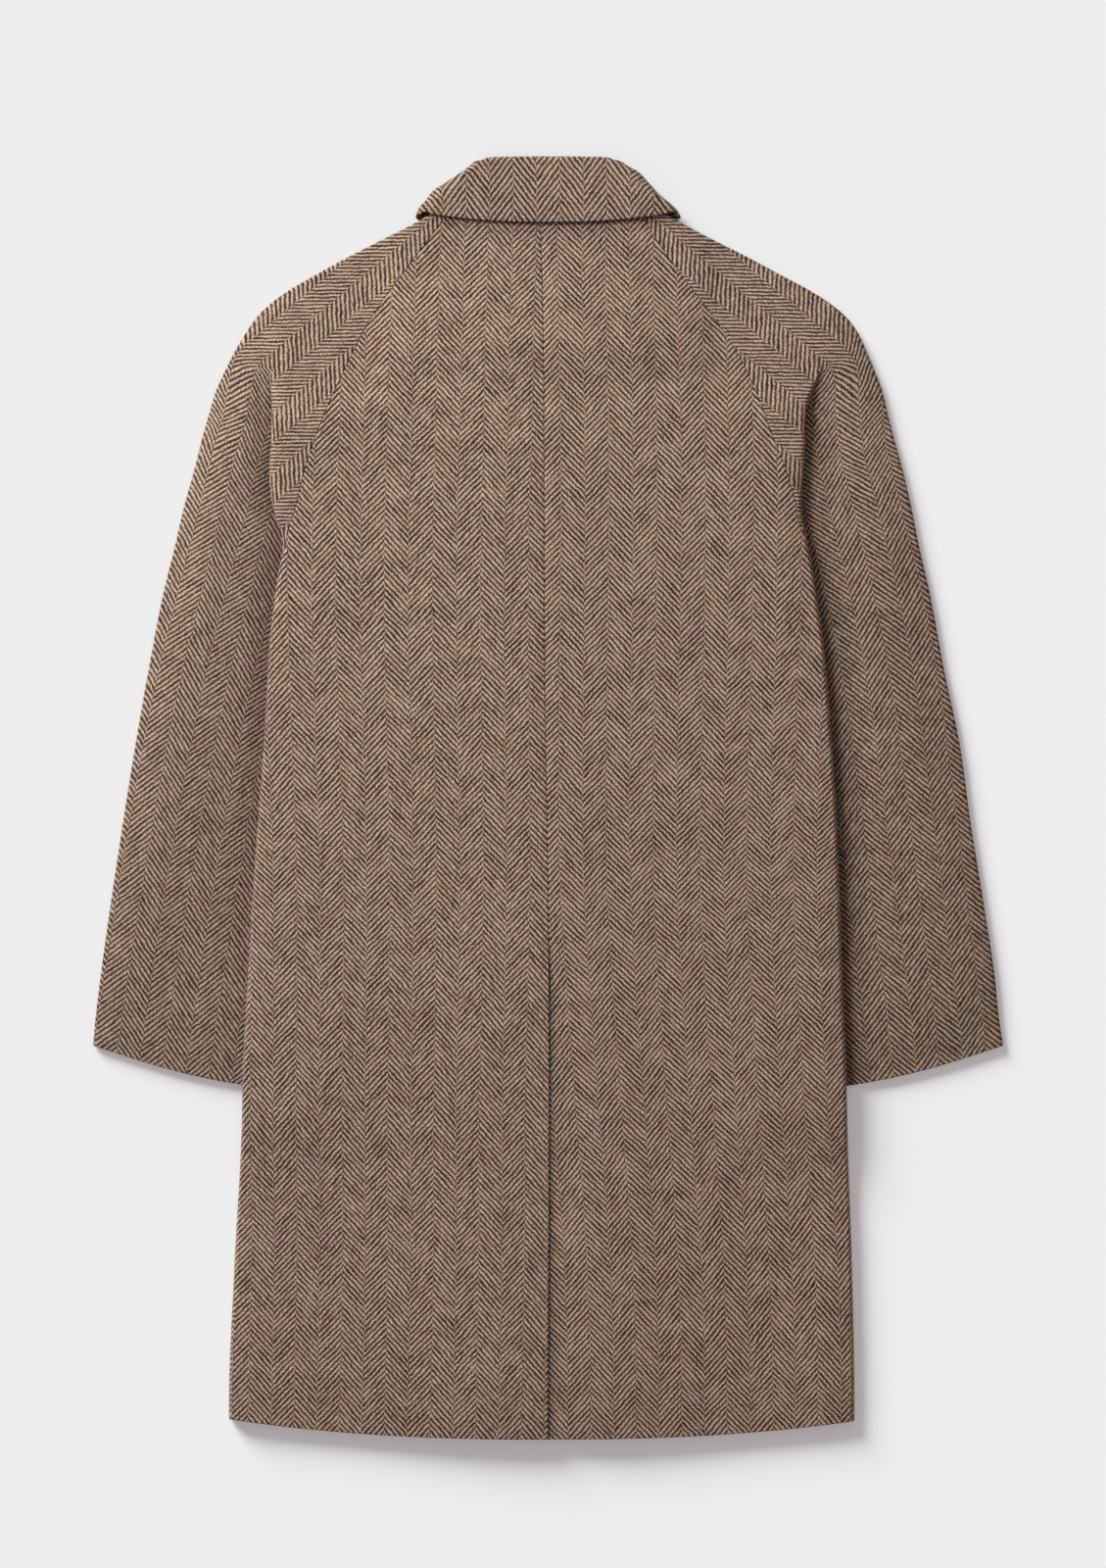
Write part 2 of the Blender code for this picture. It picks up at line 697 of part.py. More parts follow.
def build():
    for item in list(bpy.data.objects):
        bpy.data.objects.remove(item, do_unlink=True)
    cloth = tweed()
    solids = {name: wall_mesh(rows) for name, rows in coat_panels().items()}
    everything = np.concatenate([points for points, _ in solids.values()])
    low = everything.min(axis=0)
    high = everything.max(axis=0)
    origin = np.array([(low[0] + high[0]) / 2, (low[1] + high[1]) / 2, low[2]])
    for name, (points, triangles) in solids.items():
        if signed_volume(points, triangles) < 0:
            triangles = [tuple(reversed(t)) for t in triangles]
        mesh = bpy.data.meshes.new(name)
        mesh.from_pydata(((points - origin) / 1000).tolist(), [], triangles)
        mesh.validate()
        mesh.materials.append(cloth)
        mesh.shade_smooth()
        panel = bpy.data.objects.new(name, mesh)
        bpy.context.scene.collection.objects.link(panel)


build()
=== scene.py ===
"""Looks of a herringbone overcoat laid flat with its back up.

Each panel of cloth is made again on the form of its solid, as a finer wall with rounded seams and edges,
soft creases and a weave that follows the cut. Sizes in the tables are millimetres: height is up from the
hem and across is out from the centre line, so one function makes both halves of the coat.
"""
import math

import bpy
import numpy as np
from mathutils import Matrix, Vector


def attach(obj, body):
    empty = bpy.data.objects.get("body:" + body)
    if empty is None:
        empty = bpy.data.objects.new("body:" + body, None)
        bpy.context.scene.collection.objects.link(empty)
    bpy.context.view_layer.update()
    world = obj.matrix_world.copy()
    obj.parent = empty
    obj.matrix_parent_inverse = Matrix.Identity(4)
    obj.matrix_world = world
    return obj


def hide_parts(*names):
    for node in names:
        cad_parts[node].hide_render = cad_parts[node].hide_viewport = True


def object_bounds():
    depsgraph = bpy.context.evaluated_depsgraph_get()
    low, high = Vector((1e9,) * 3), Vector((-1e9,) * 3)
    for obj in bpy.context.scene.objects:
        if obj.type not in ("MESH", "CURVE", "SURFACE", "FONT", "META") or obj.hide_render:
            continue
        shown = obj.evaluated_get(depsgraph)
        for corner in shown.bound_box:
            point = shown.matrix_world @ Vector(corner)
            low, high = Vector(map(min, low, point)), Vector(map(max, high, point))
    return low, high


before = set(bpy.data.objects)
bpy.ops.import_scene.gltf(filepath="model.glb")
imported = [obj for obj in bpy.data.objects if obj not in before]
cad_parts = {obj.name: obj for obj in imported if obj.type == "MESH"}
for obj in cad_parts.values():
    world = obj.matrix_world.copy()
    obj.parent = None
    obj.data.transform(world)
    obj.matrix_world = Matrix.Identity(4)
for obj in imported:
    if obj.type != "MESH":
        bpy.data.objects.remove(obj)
cad_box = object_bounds()

# Cloth and folds
CLOTH = 2.2
HALF = CLOTH / 2
FOLD = 2.0
LAYER = 2 * FOLD
SEAM = 0.12
FLOOR = HALF

# Fineness of the walls
ROW_STEP = 7.0
BODY_STEPS = 40
UNDER_STEPS = 8
FRONT_STEPS = 22
WEDGE_STEPS = 12
SLEEVE_STEPS = 22
TURN_STEPS = 8
TURN_CUT = 3.4
EDGE_STEPS = (0.35, 0.9, 1.8, 3.2)
EDGE_SHARE = 0.03
EDGE_ROUND = 0.6
EDGE_LEAST = 0.2

# Heights of the main points
NECK_BACK = 1032.5
NECK_FRONT = 1006.0
BACK_NECK_BLEND = 962.0
FRONT_NECK_BLEND = 910.0
PLEAT_TOP = 890.0
PLEAT_RUN = 50.0
PLEAT_SHARE = 0.6
UNDERARM = 700.0
INNER_TURN_TOP = 680.0
VENT_TOP = 380.0
VENT_LAP_TOP = 362.0
VENT_LAP = 45.0
VENT_RISE = 1.2
VENT_SINK = 1.8
VENT_SINK_RUN = 60.0
VENT_RUN = 60.0
VENT_SOFT = 150.0

# Hem, cuff and front closing
HEM_RISE = 15.0
HEM_REACH = 255.0
HEM_BLEND = 120.0
HEM_MOST = 1.2
HEM_POWER = 2.4
CUFF_SAG = 5.0
CUFF_SAG_TOP = 430.0
CUFF_SAG_RUN = 120.0
CLOSING = 45.0
CLOSING_REACH = 23.0
CLOSING_RUN = 20.0
CLOSING_TOP = 1011.0
CLOSING_TOP_RUN = 30.0
SIDE_RISE = 90.0
SIDE_CLEAR = 4.0
CUFF_CLEAR = 206.0
CUFF_RUN = 80.0
FRONT_FADE = 35.0
FRONT_CORNER = 139.0

# Pleat at the underarm: length of its hidden leg
LEG_START = 2.0
LEG_AT_JOIN = 45.0
UNDERARM_ACROSS = 143.4
SEAM_TURN = 0.5
SEAM_INSET = 1.0
LEAST_TURN = 0.05
LEAST_SEAM_TURN = 0.2
LEAST_PLEAT_TURN = 0.1
LEAST_LEG = 0.5
LEAST_UNDER = 1.5
PLEAT_CLEAR = 2.0
UNDERARM_CLEAR = 3.0

# Points of a sleeve row whose key is past this one lie beyond the pleat
PLEAT_KEY = 2.5

# Visible folded edge: pleat above the underarm, side of the body below it
# (height, left, right)
FOLDED_EDGE = (
    (890, 236, 231), (880, 232.5, 223), (860, 231, 216), (830, 232, 215), (800, 233, 213),
    (775, 229, 212), (750, 221.5, 217), (735, 223.5, 220), (705, 228.5, 224.5), (670, 232.5, 229.5),
    (600, 236.5, 236), (530, 241.5, 240.5), (455, 247, 244), (385, 251, 246), (313, 255, 249),
    (253, 256.5, 250.5), (154, 262, 254), (20, 267, 256.3), (0, 267, 256.3),
)

# Raglan seam on the back (height, left, right)
RAGLAN_BACK = (
    (1032.5, 77, 71), (1020, 87, 80), (990, 109, 99), (960, 132, 122), (930, 152, 144), (900, 167, 163),
    (870, 181, 176), (840, 193, 187), (810, 203, 199), (780, 210.5, 208), (762, 216, 213),
    (747, 220, 217),
)

# Raglan seam on the front, which lies underneath (height, across)
RAGLAN_FRONT = (
    (1006, 76), (990, 91), (960, 116), (930, 134), (900, 147), (870, 156), (840, 161), (800, 162),
    (760, 155), (735, 148), (720, 143), (700, 136),
)

# Outer edge of the sleeve, from the neck over the shoulder to the cuff (height, left, right)
SLEEVE_EDGE = (
    (1027.5, 93.5, 93.5), (1021, 104, 104), (1015, 114.5, 114.5), (1007, 130.5, 130), (990.6, 163.5, 163),
    (974, 194, 194), (958, 221, 223.5), (941, 241.5, 247), (925, 253, 259.5), (908.6, 262.8, 267),
    (892, 271, 274), (876, 278.4, 280), (859, 283.3, 284), (843, 288, 288), (810, 296.4, 297),
    (777, 305.5, 304.6), (745, 312.8, 311), (712, 321, 318.6), (646, 334, 331), (580, 345.6, 344.8),
    (515, 356, 353.8), (449, 366, 364.5), (384, 375, 374.3), (351, 379, 377.6), (329, 381, 381),
)

# Inner edge of the sleeve, hidden under the body (height, across)
SLEEVE_INNER = ((690, 143), (600, 160), (500, 180), (400, 200), (291, 222))

# Side seam, folded under the body (height, across)
SIDE_SEAM = ((690, 147), (675, 148), (600, 163), (500, 181), (400, 196), (291, 205), (0, 212))

# Centre back seam, in millimetres to the right of the centre line (height, across)
CENTRE_BACK = ((1032.5, -6.2), (900, -3.7), (680, -2.9), (380, 0.8), (0, 0.0))

# Rows of the body from neck to hem
BACK_TOP_ROWS = (NECK_BACK, 1016, 990, 962, 935, 910, 890, 878, 868, 858, 848, 838, 812, 785)
FRONT_TOP_ROWS = (NECK_FRONT, 998, 984, 962, 935, 910, 890, 868, 838, 812, 785)
UNDERARM_ROWS = (770, 762, 755, 747, 738, 724, 710, UNDERARM)
LOWER_ROWS = (690, 675, 630, 560, 490, 430, 395, 380, 362, 330, 300, 286, 272, 258, 200, 120, 60, 20, 0)

# Rows of the sleeve above the pleat: height at the back seam, at the front seam, at the outer edge
SHOULDER_ROWS = (
    (NECK_BACK, NECK_FRONT, 1027.5), (1016, 998, 1016), (990, 984, 1004), (962, 962, 986), (935, 935, 962),
    (910, 910, 930), (890, 890, 898),
)
PLEAT_ROWS = (878, 868, 858, 848, 838, 812, 785)

# Rows of the sleeve below the underarm: height at the inner edge, at the outer edge
ARM_ROWS = (
    (690, 690), (675, 677), (630, 636), (570, 582), (500, 518), (430, 454), (360, 390), (320, 354),
    (291, 329),
)

# Collar, one half: where its fold starts, where its edge ends, and how far down its stand reaches
# (fold across, fold height, edge across, edge height, stand share)
COLLAR_BACK = (
    (0, 1069, 0, 1017, 0.72), (20, 1069, 34, 1017.5, 0.72), (37, 1069, 64, 1019.5, 0.72),
    (47, 1069, 82, 1021.5, 0.72), (53, 1068.5, 92.5, 1023, 0.72), (57, 1067, 100, 1024.5, 0.72),
)
COLLAR_FRONT = (
    (57, 1067, 102, 1013.5, 0.72), (45, 1030, 85, 965, 0.5), (25, 1008, 66, 938, 0.3),
    (5, 992, 45, 918, 0.12),
)
COLLAR_TURN_STEPS = 12
COLLAR_STATION_STEPS = 6
COLLAR_FALL_STEPS = 14
COLLAR_STAND_STEPS = 5
COLLAR_SINK = 3.0
COLLAR_CORNER = 4.5
COLLAR_CORNER_SHARE = 0.6
COLLAR_CORNER_RUN = 18.0
COLLAR_ROLL = 4.0
COLLAR_EDGE_LIFT = 3.0
COLLAR_REACH = 118.0
COLLAR_LOW = 880.0
COLLAR_RUN = 32.0

# How much fuller the side of the collar is, from its fold to its edge (share, left, right)
COLLAR_SIDE = (
    (0.0, 0, 0), (0.2, 0.5, 2.5), (0.4, 4, 3), (0.6, 8, 3.5), (0.75, 7.5, 5), (0.9, 7.5, 6.5), (1.0, 5, 5),
)

# Weave: width of a herringbone column and rise of one twill line
COLUMN = 19.6
REPEAT = 5.1
COLLAR_REPEAT = 6.4
COLLAR_APEX = 9.8
LINES_PER_COLUMN = 4.0
BEADS = 7.0

# Painted shade: the arms, more so down from the shoulder, and the collar have their colour darkened a little
# toward the darkest yarn, standing in for the shade that falls on them
ARM_PAINTED_SHADE = 0.14
COLLAR_PAINTED_SHADE = 0.08
ARM_PAINTED_SHADE_TOP = 900.0
ARM_PAINTED_SHADE_RUN = 160.0

# Peaks of the first herringbone column beside the centre seam (height, left, right)
BODY_GRAIN = (
    (1032, 9, 7.5), (958, 11, 8.3), (835, 14, 10.5), (712, 16.4, 10.2), (589, 15.6, 9), (466, 15, 10),
    (343, 17.6, 17.9), (261, 19.4, 24.4), (179, 19.4, 30.8), (97, 20.6, 34.6), (31, 22.2, 35.6), (0, 23, 36),
)

# Width of the body's columns (height, width)
BODY_COLUMN = ((1032, 20.0), (958, 20.0), (712, 20.1), (466, 19.5), (261, 19.1), (0, 19.0))

# Peaks of the column that runs down the sleeve from the pleat (height, left, right)
ARM_GRAIN = (
    (905, 241, 234), (888, 246, 239), (851, 252.5, 241), (832, 258.5, 243), (775, 272, 256),
    (711, 288.5, 271.5), (631, 308, 287), (550, 324, 298.3), (469, 338, 308.5), (388, 351, 319),
    (291, 366, 331),
)

# The shoulder's columns lean this far, and turn about the top of the pleat to the lean of the sleeve's
SHOULDER_LEAN = math.radians(50)
SHOULDER_REPEAT = 4.8
SHOULDER_SHEAR = 0.23
ARM_LEAN = math.radians(18)
TURN_LEAST = 15.0
TURN_SHARE = 0.5
TURN_MEAN = 30.0
TURN_FADE = 150.0
SLOPE_STEP = 6.0

# Soft ridges and troughs in the cloth, to the right of the centre line and up from the hem
# (from across, from height, to across, to height, half width, rise)
CREASES = (
    (-52, 330, -8, 366, 11, 1.4), (-205, 690, -135, 770, 26, 1.4), (-225, 640, -190, 700, 22, 1.0),
    (205, 690, 165, 770, 26, 1.3), (-96, 860, -84, 940, 24, -0.6), (30, 850, 44, 930, 26, -0.6),
    (-150, 520, -60, 560, 40, 0.8), (70, 560, 190, 500, 46, 0.8), (-120, 200, -110, 330, 44, 0.8),
    (110, 180, 135, 330, 46, 0.9), (-210, 120, -180, 260, 40, 0.7), (200, 60, 215, 240, 42, -0.5),
    (-40, 40, -44, 200, 30, 0.9), (70, 60, 60, 190, 32, 0.6), (-20, 620, -30, 760, 40, 0.6),
    (-285, 700, -300, 790, 16, 0.9), (-318, 480, -300, 620, 24, 0.9), (-345, 380, -318, 470, 26, 0.8),
    (292, 690, 280, 800, 18, 0.8), (322, 470, 300, 610, 24, 0.8), (352, 370, 330, 470, 26, 0.7),
    (-300, 560, -345, 540, 18, -0.5), (290, 640, 330, 655, 18, -0.5), (150, 860, 120, 960, 28, 0.7),
    (-160, 850, -125, 960, 26, 0.7), (224, 888, 232, 815, 9, -0.8), (-243, 892, -240, 800, 9, -0.8),
    (-6.2, 1032, -2.9, 680, 5, -0.9), (-2.9, 680, 0.8, 390, 5, -0.9),
)

# A crease is highest at one share of its length and tapers from there
CREASE_LEAST = 0.6
CREASE_MORE = 0.4
CREASE_PEAK = 0.4
CREASE_TAPER = 2.2
CREASE_END = 1.5

# The hem and the cuffs droop: the cuff's line is across, height and slope
HEM_DROOP = 0.4
HEM_DROOP_RUN = 40.0
CUFF_DROOP = 0.8
CUFF_DROOP_RUN = 60.0
CUFF_DROOP_LINE = (240.0, 300.0, 0.2)
CUFF_DROOP_ACROSS = 235.0
CUFF_DROOP_LOW = 285.0

# Fullness of the sleeve beside the body (height, left, right)
SLEEVE_FULL = ((905, 7, 7), (860, 9, 3), (800, 11, 3), (620, 10, 3), (480, 5, 3), (291, 3, 3))

# The middle of the back rides level over what lies under it
FILL_RISE = 6.0
FILL_LOW = 210.0
FILL_LOW_RUN = 230.0
FILL_TOP = 990.0
FILL_TOP_RUN = 190.0
FILL_RUN = 120.0
CLOSING_SOFT = 190.0
CLOSING_SOFT_RUN = 170.0
CLOSING_SEAM_RUN = 45.0

# Fullness of the upper layer: how far it rises between its edges, and over what distance
BODY_FULL = 7.0
BODY_EDGE_FULL = 6.0
BODY_ROLL = 16.0
SLEEVE_ROLL = 26.0
SLEEVE_DIP = 0.7
SLEEVE_HOLLOW = 58.0
OUTER_ROLL = 40.0
HEM_ROLL = 60.0
HEM_SHARE = 0.7
CUFF_ROLL = 45.0
NECK_FLAT = 1000.0
NECK_RUN = 50.0
NECK_ROLL = 110.0
PLEAT_SOFT_TOP = 912.0
PLEAT_SOFT_RUN = 50.0

# Line of the cuff where its fullness ends: across, height and slope
CUFF_LINE = (222.0, 291.0, 0.239)


def smooth(value):
    """Ease from 0 to 1 as the value goes from 0 to 1."""
    value = min(1.0, max(0.0, value))
    return value * value * (3 - 2 * value)


def curve(table, column=1):
    """A smooth curve through one column of a table whose first column is the height."""
    rows = sorted(table)
    heights = np.array([row[0] for row in rows], float)
    values = np.array([row[column] for row in rows], float)
    slopes = np.gradient(values, heights)

    def at(height):
        height = min(max(height, heights[0]), heights[-1])
        i = min(len(heights) - 2, int(np.searchsorted(heights, height, side="right")) - 1)
        span = heights[i + 1] - heights[i]
        t = (height - heights[i]) / span
        start = values[i] * (1 + 2 * t) * (1 - t) ** 2 + slopes[i] * span * t * (1 - t) ** 2
        end = values[i + 1] * t * t * (3 - 2 * t) - slopes[i + 1] * span * t * t * (1 - t)
        return float(start + end)

    return at


centre_back = curve(CENTRE_BACK)
raglan_front = curve(RAGLAN_FRONT)
sleeve_inner = curve(SLEEVE_INNER)
side_seam = curve(SIDE_SEAM)
body_column = curve(BODY_COLUMN)


class Side:
    """The curves of one half of the coat, out from the centre line."""

    def __init__(self, name, sign, column, join):
        self.name = name
        self.sign = sign
        self.join = join
        self.folded = curve(FOLDED_EDGE, column)
        self.raglan_cut = curve(RAGLAN_BACK, column)
        self.outer = curve(SLEEVE_EDGE, column)
        self.collar = curve(COLLAR_SIDE, column)
        self.body_grain = curve(BODY_GRAIN, column)
        self.arm_grain = curve(ARM_GRAIN, column)
        self.full = curve(SLEEVE_FULL, column)

    def edge(self, height):
        """Where the half turn of the folded edge starts."""
        return self.folded(height) - HALF - FOLD

    def raglan(self, height):
        """The raglan seam, which meets the folded edge at the join."""
        return min(self.raglan_cut(height), self.edge(height) - SEAM_INSET)

    def turn(self, height):
        """How far the pleat has turned under, in radians."""
        return math.pi * min(1.0, max(0.0, (PLEAT_TOP - height) / PLEAT_RUN))

    def leg(self, height):
        """Length of the pleat's hidden leg."""
        full = self.edge(UNDERARM) - FOLD - UNDERARM_ACROSS
        steps = (UNDERARM, self.join, PLEAT_TOP - PLEAT_RUN)
        return float(np.interp(height, steps, (full, LEG_AT_JOIN, LEG_START)))

    def drop(self, height):
        """How far the sleeve lies below the body at the pleat."""
        angle = self.turn(height)
        return LAYER * (1 - math.cos(angle)) + self.leg(height) * math.sin(angle)

    def inner(self, height):
        """The inmost reach of the sleeve under the body."""
        if height < UNDERARM:
            return sleeve_inner(height)
        return self.edge(height) - FOLD - self.leg(height)

    def full_rise(self, height):
        """Where the body has climbed fully onto the sleeve."""
        reach = self.inner(height) - SIDE_CLEAR
        if height > self.join:
            reach = min(reach, self.raglan(height) - SEAM)
        return reach

    def rise(self, across, height):
        """Height that the sleeve below gives to the body."""
        cuff = smooth((height - CUFF_CLEAR) / CUFF_RUN)
        start = self.full_rise(height) - SIDE_RISE
        return self.drop(height) * cuff * smooth((across - start) / SIDE_RISE)

    def seam_run(self, height):
        """Length of the body's cloth past the folded edge, from the start of its half turn."""
        share = (self.join - height) / (self.join - UNDERARM)
        turned = math.pi * FOLD * min(1.0, share / SEAM_TURN)
        return turned + self.leg(UNDERARM) * max(0.0, (share - SEAM_TURN) / (1 - SEAM_TURN))


LEFT = Side("left", -1, 1, 747.0)
RIGHT = Side("right", 1, 2, 762.0)


def collar_rise(across, height):
    """Height that the front leaf of the collar gives to what lies on it."""
    near = smooth((COLLAR_REACH + COLLAR_RUN - abs(across)) / COLLAR_RUN)
    return LAYER * near * smooth((height - COLLAR_LOW) / COLLAR_RUN)


def closing_rise(across, height):
    """Height that the lapped fronts give to what lies on them."""
    near = smooth((CLOSING + CLOSING_REACH - abs(across)) / CLOSING_RUN)
    return LAYER * near * smooth((CLOSING_TOP - height) / CLOSING_TOP_RUN)


def vent_rise(side, across, height):
    """The left side of the vent lies on the right one."""
    below = smooth((VENT_TOP + VENT_RUN - height) / VENT_RUN)
    if side is RIGHT:
        return -VENT_SINK * smooth((VENT_SINK_RUN - across) / VENT_SINK_RUN) * below
    return VENT_RISE * smooth((VENT_LAP + VENT_SOFT - across) / VENT_SOFT) * below


def filled_rise(side, across, height):
    """Height that the sleeve gives to the back at its side, carried on level across its middle."""
    beside = side.drop(height) * smooth((height - CUFF_CLEAR) / CUFF_RUN)
    middle = FILL_RISE * smooth((height - FILL_LOW) / FILL_LOW_RUN)
    middle *= smooth((FILL_TOP - height) / FILL_TOP_RUN)
    return beside + (middle - beside) * smooth((side.full_rise(height) - across) / FILL_RUN)


def back_level(side, across, height):
    closing = LAYER * smooth((CLOSING_SOFT - abs(across)) / CLOSING_SOFT_RUN)
    closing *= smooth((NECK_FLAT - height) / NECK_RUN)
    closing *= smooth((side.raglan(height) - across) / CLOSING_SEAM_RUN)
    lift = collar_rise(across, height) + closing + filled_rise(side, across, height)
    return FLOOR + LAYER + lift + vent_rise(side, across, height)


def front_level(side, across, height):
    fade = 1.0 if height <= UNDERARM else smooth((UNDERARM + FRONT_FADE - height) / FRONT_FADE)
    level = FLOOR + collar_rise(across, height) + fade * side.rise(across, height)
    return level + (closing_rise(across, height) if side is RIGHT else 0.0)


def neck_height(stations, across):
    """Height of the lower edge of the collar's stand."""
    points = sorted((x + share * (ex - x), h + share * (eh - h)) for x, h, ex, eh, share in stations)
    return float(np.interp(across, [p[0] for p in points], [p[1] for p in points]))


def neck_lift(stations, across, height, seam, neck, blend):
    """How far a row near the neck rises to meet the collar's stand."""
    if height <= blend:
        return 0.0
    lift = neck_height(stations, min(across, seam)) - neck_height(stations, seam)
    return lift * ((height - blend) / (neck - blend))


def hem_lift(across, height):
    share = max(0.0, 1 - height / HEM_BLEND)
    return HEM_RISE * min(HEM_MOST, abs(across) / HEM_REACH) ** HEM_POWER * share


class Row:
    """Points across a panel: keys that order them, places, ways the outer face looks, places in the cut."""

    def __init__(self):
        self.keys = []
        self.places = []
        self.faces = []
        self.cuts = []

    def add(self, key, across, height, level, out=0.0, up=1.0, along=0.0, cut=None):
        self.keys.append(key)
        self.places.append((across, height, level))
        self.faces.append((out, along, up))
        self.cuts.append(cut or (across, height))


def finer(rows, step):
    """The rows with more between them, and closer together at the two ends."""
    rows = [np.atleast_1d(np.array(row, float)) for row in rows]
    fine = [rows[0]]
    for first, last in zip(rows, rows[1:]):
        count = max(1, round(float(np.abs(last - first).max()) / step))
        fine += [first + (last - first) * (i / count) for i in range(1, count + 1)]
    first_way = (fine[1] - fine[0]) / np.abs(fine[1] - fine[0]).max()
    last_way = (fine[-2] - fine[-1]) / np.abs(fine[-2] - fine[-1]).max()
    head = [fine[0] + first_way * step for step in EDGE_STEPS]
    tail = [fine[-1] + last_way * step for step in reversed(EDGE_STEPS)]
    return [fine[0]] + head + fine[1:-1] + tail + [fine[-1]]


def spread(first, last, count):
    """Stops across a row, closer together at its two ends."""
    width = last - first
    way = 1.0 if width > 0 else -1.0
    ends = [way * min(step, abs(width) * EDGE_SHARE * (i + 1)) for i, step in enumerate(EDGE_STEPS)]
    inner_first = first + ends[-1]
    inner_last = last - ends[-1]
    middle = [inner_first + (inner_last - inner_first) * i / count for i in range(1, count)]
    return [first] + [first + e for e in ends] + middle + [last - e for e in reversed(ends)] + [last]


def back_height(across, height):
    lift = neck_lift(COLLAR_BACK, across, height, RAGLAN_BACK[0][2], NECK_BACK, BACK_NECK_BLEND)
    return height + lift + hem_lift(across, height)


def back_row(side, height):
    """One row of a back panel, from the centre seam to the raglan seam or round the side."""
    row = Row()
    centre = side.sign * centre_back(height) + SEAM / 2
    if side is RIGHT and height <= VENT_LAP_TOP:
        centre -= VENT_LAP
    last = side.edge(height) if height <= side.join else side.raglan(height) - SEAM / 2
    for across in spread(centre, last, BODY_STEPS):
        place = back_height(across, height)
        key = 3 * (across - centre) / (last - centre)
        row.add(key, across, place, back_level(side, across, place))
    if height <= side.join:
        wrap_round_side(row, side, height)
    return row


def wrap_round_side(row, side, height):
    """Carry a back row round the folded edge and in under the body."""
    edge = side.edge(height)
    level = back_level(side, edge, height) - FOLD
    run = side.seam_run(height) - SEAM / 2 if height >= UNDERARM else math.pi * FOLD
    turned = min(math.pi, run / FOLD)
    if turned < LEAST_SEAM_TURN:
        return
    for i in range(1, TURN_STEPS + 1):
        angle = turned * i / TURN_STEPS
        row.add(3 + angle / math.pi, edge + FOLD * math.sin(angle), back_height(edge, height),
                level + FOLD * math.cos(angle), math.sin(angle), math.cos(angle),
                cut=(edge + TURN_CUT * angle, height))
    end = edge - (run - math.pi * FOLD) if height >= UNDERARM else side_seam(height) + SEAM / 2
    if end > edge - LEAST_UNDER:
        return
    for across in spread(edge, end, UNDER_STEPS)[1:]:
        key = 4 + (edge - across) / (edge - end)
        row.add(key, across, back_height(across, height), back_level(side, across, height) - LAYER,
                0.0, -1.0, cut=(2 * edge + math.pi * TURN_CUT - across, height))


def front_height(across, height):
    seam = RAGLAN_FRONT[0][1]
    lift = neck_lift(COLLAR_FRONT, abs(across), height, seam, NECK_FRONT, FRONT_NECK_BLEND)
    return height + lift + hem_lift(across, height)


def front_end(height):
    """Outer edge of a front: its raglan seam above the underarm, its side seam below."""
    if height >= UNDERARM:
        return raglan_front(height) - SEAM / 2
    if height > INNER_TURN_TOP:
        return FRONT_CORNER
    return side_seam(height) - SEAM / 2


def front_row(side, height):
    row = Row()
    end = front_end(height)
    for across in spread(-CLOSING, end, FRONT_STEPS):
        key = (across + CLOSING) / (end + CLOSING)
        place = front_height(across, height)
        row.add(key, across, place, front_level(side, across, place), 0.0, -1.0)
    return row


def sleeve_level(across, height):
    return FLOOR + collar_rise(across, height)


def sleeve_sag(share, height):
    """The cuff bows down a little between its two corners."""
    return CUFF_SAG * math.sin(math.pi * share) * smooth((CUFF_SAG_TOP - height) / CUFF_SAG_RUN)


class SleeveLine:
    """A row of the sleeve in plan, from the seam or inner edge out to the folded outer edge."""

    def __init__(self, side, start, outer_height):
        end = (side.outer(outer_height), outer_height)
        self.start = np.array(start, float)
        self.length = math.dist(start, end)
        self.step = (np.array(end) - self.start) / self.length

    def at(self, run):
        place = self.start + self.step * run
        place[1] -= sleeve_sag(run / self.length, place[1])
        return place

    def add(self, row, key, run, level, out=0.0, up=1.0, cut_run=None):
        across, height = self.at(run)
        cut = self.start + self.step * (run if cut_run is None else cut_run)
        row.add(key, across, height, level, out * self.step[0], up, out * self.step[1], tuple(cut))


def quarter_turn(row, line, lower, run, stops):
    """Turn an edge of the sleeve up to its seam, in stops of a key and a share of the turn."""
    level = sleeve_level(*line.at(run))
    sign = -1.0 if lower else 1.0
    middle = level + FOLD if lower else level + LAYER - FOLD
    reach = math.pi / 2 - SEAM / 2 / FOLD
    for key, share in stops:
        angle = reach * share
        line.add(row, key, run + FOLD * math.sin(angle), middle + sign * FOLD * math.cos(angle),
                 math.sin(angle), sign * math.cos(angle), run + FOLD * angle)


def outer_turn(row, line, lower):
    steps = TURN_STEPS // 2
    stops = [(5 + i / TURN_STEPS, i / steps) for i in range(steps + 1)]
    quarter_turn(row, line, lower, line.length - HALF - FOLD, stops)


def inner_turn(row, line, lower):
    stops = [(3 + 2 * i / TURN_STEPS, 2 * i / TURN_STEPS - 1) for i in range(TURN_STEPS // 2)]
    quarter_turn(row, line, lower, FOLD, stops)


def flat_run(row, line, stops, key_first, key_last, lower):
    """The flat of a sleeve row, without the last of its stops."""
    for run in stops[:-1]:
        share = (run - stops[0]) / (stops[-1] - stops[0])
        across, height = line.at(run)
        level = sleeve_level(across, height) + (0.0 if lower else LAYER)
        line.add(row, key_first + (key_last - key_first) * share, run, level, 0.0, -1.0 if lower else 1.0)


def even(first, last, count):
    return [first + (last - first) * i / count for i in range(count + 1)]


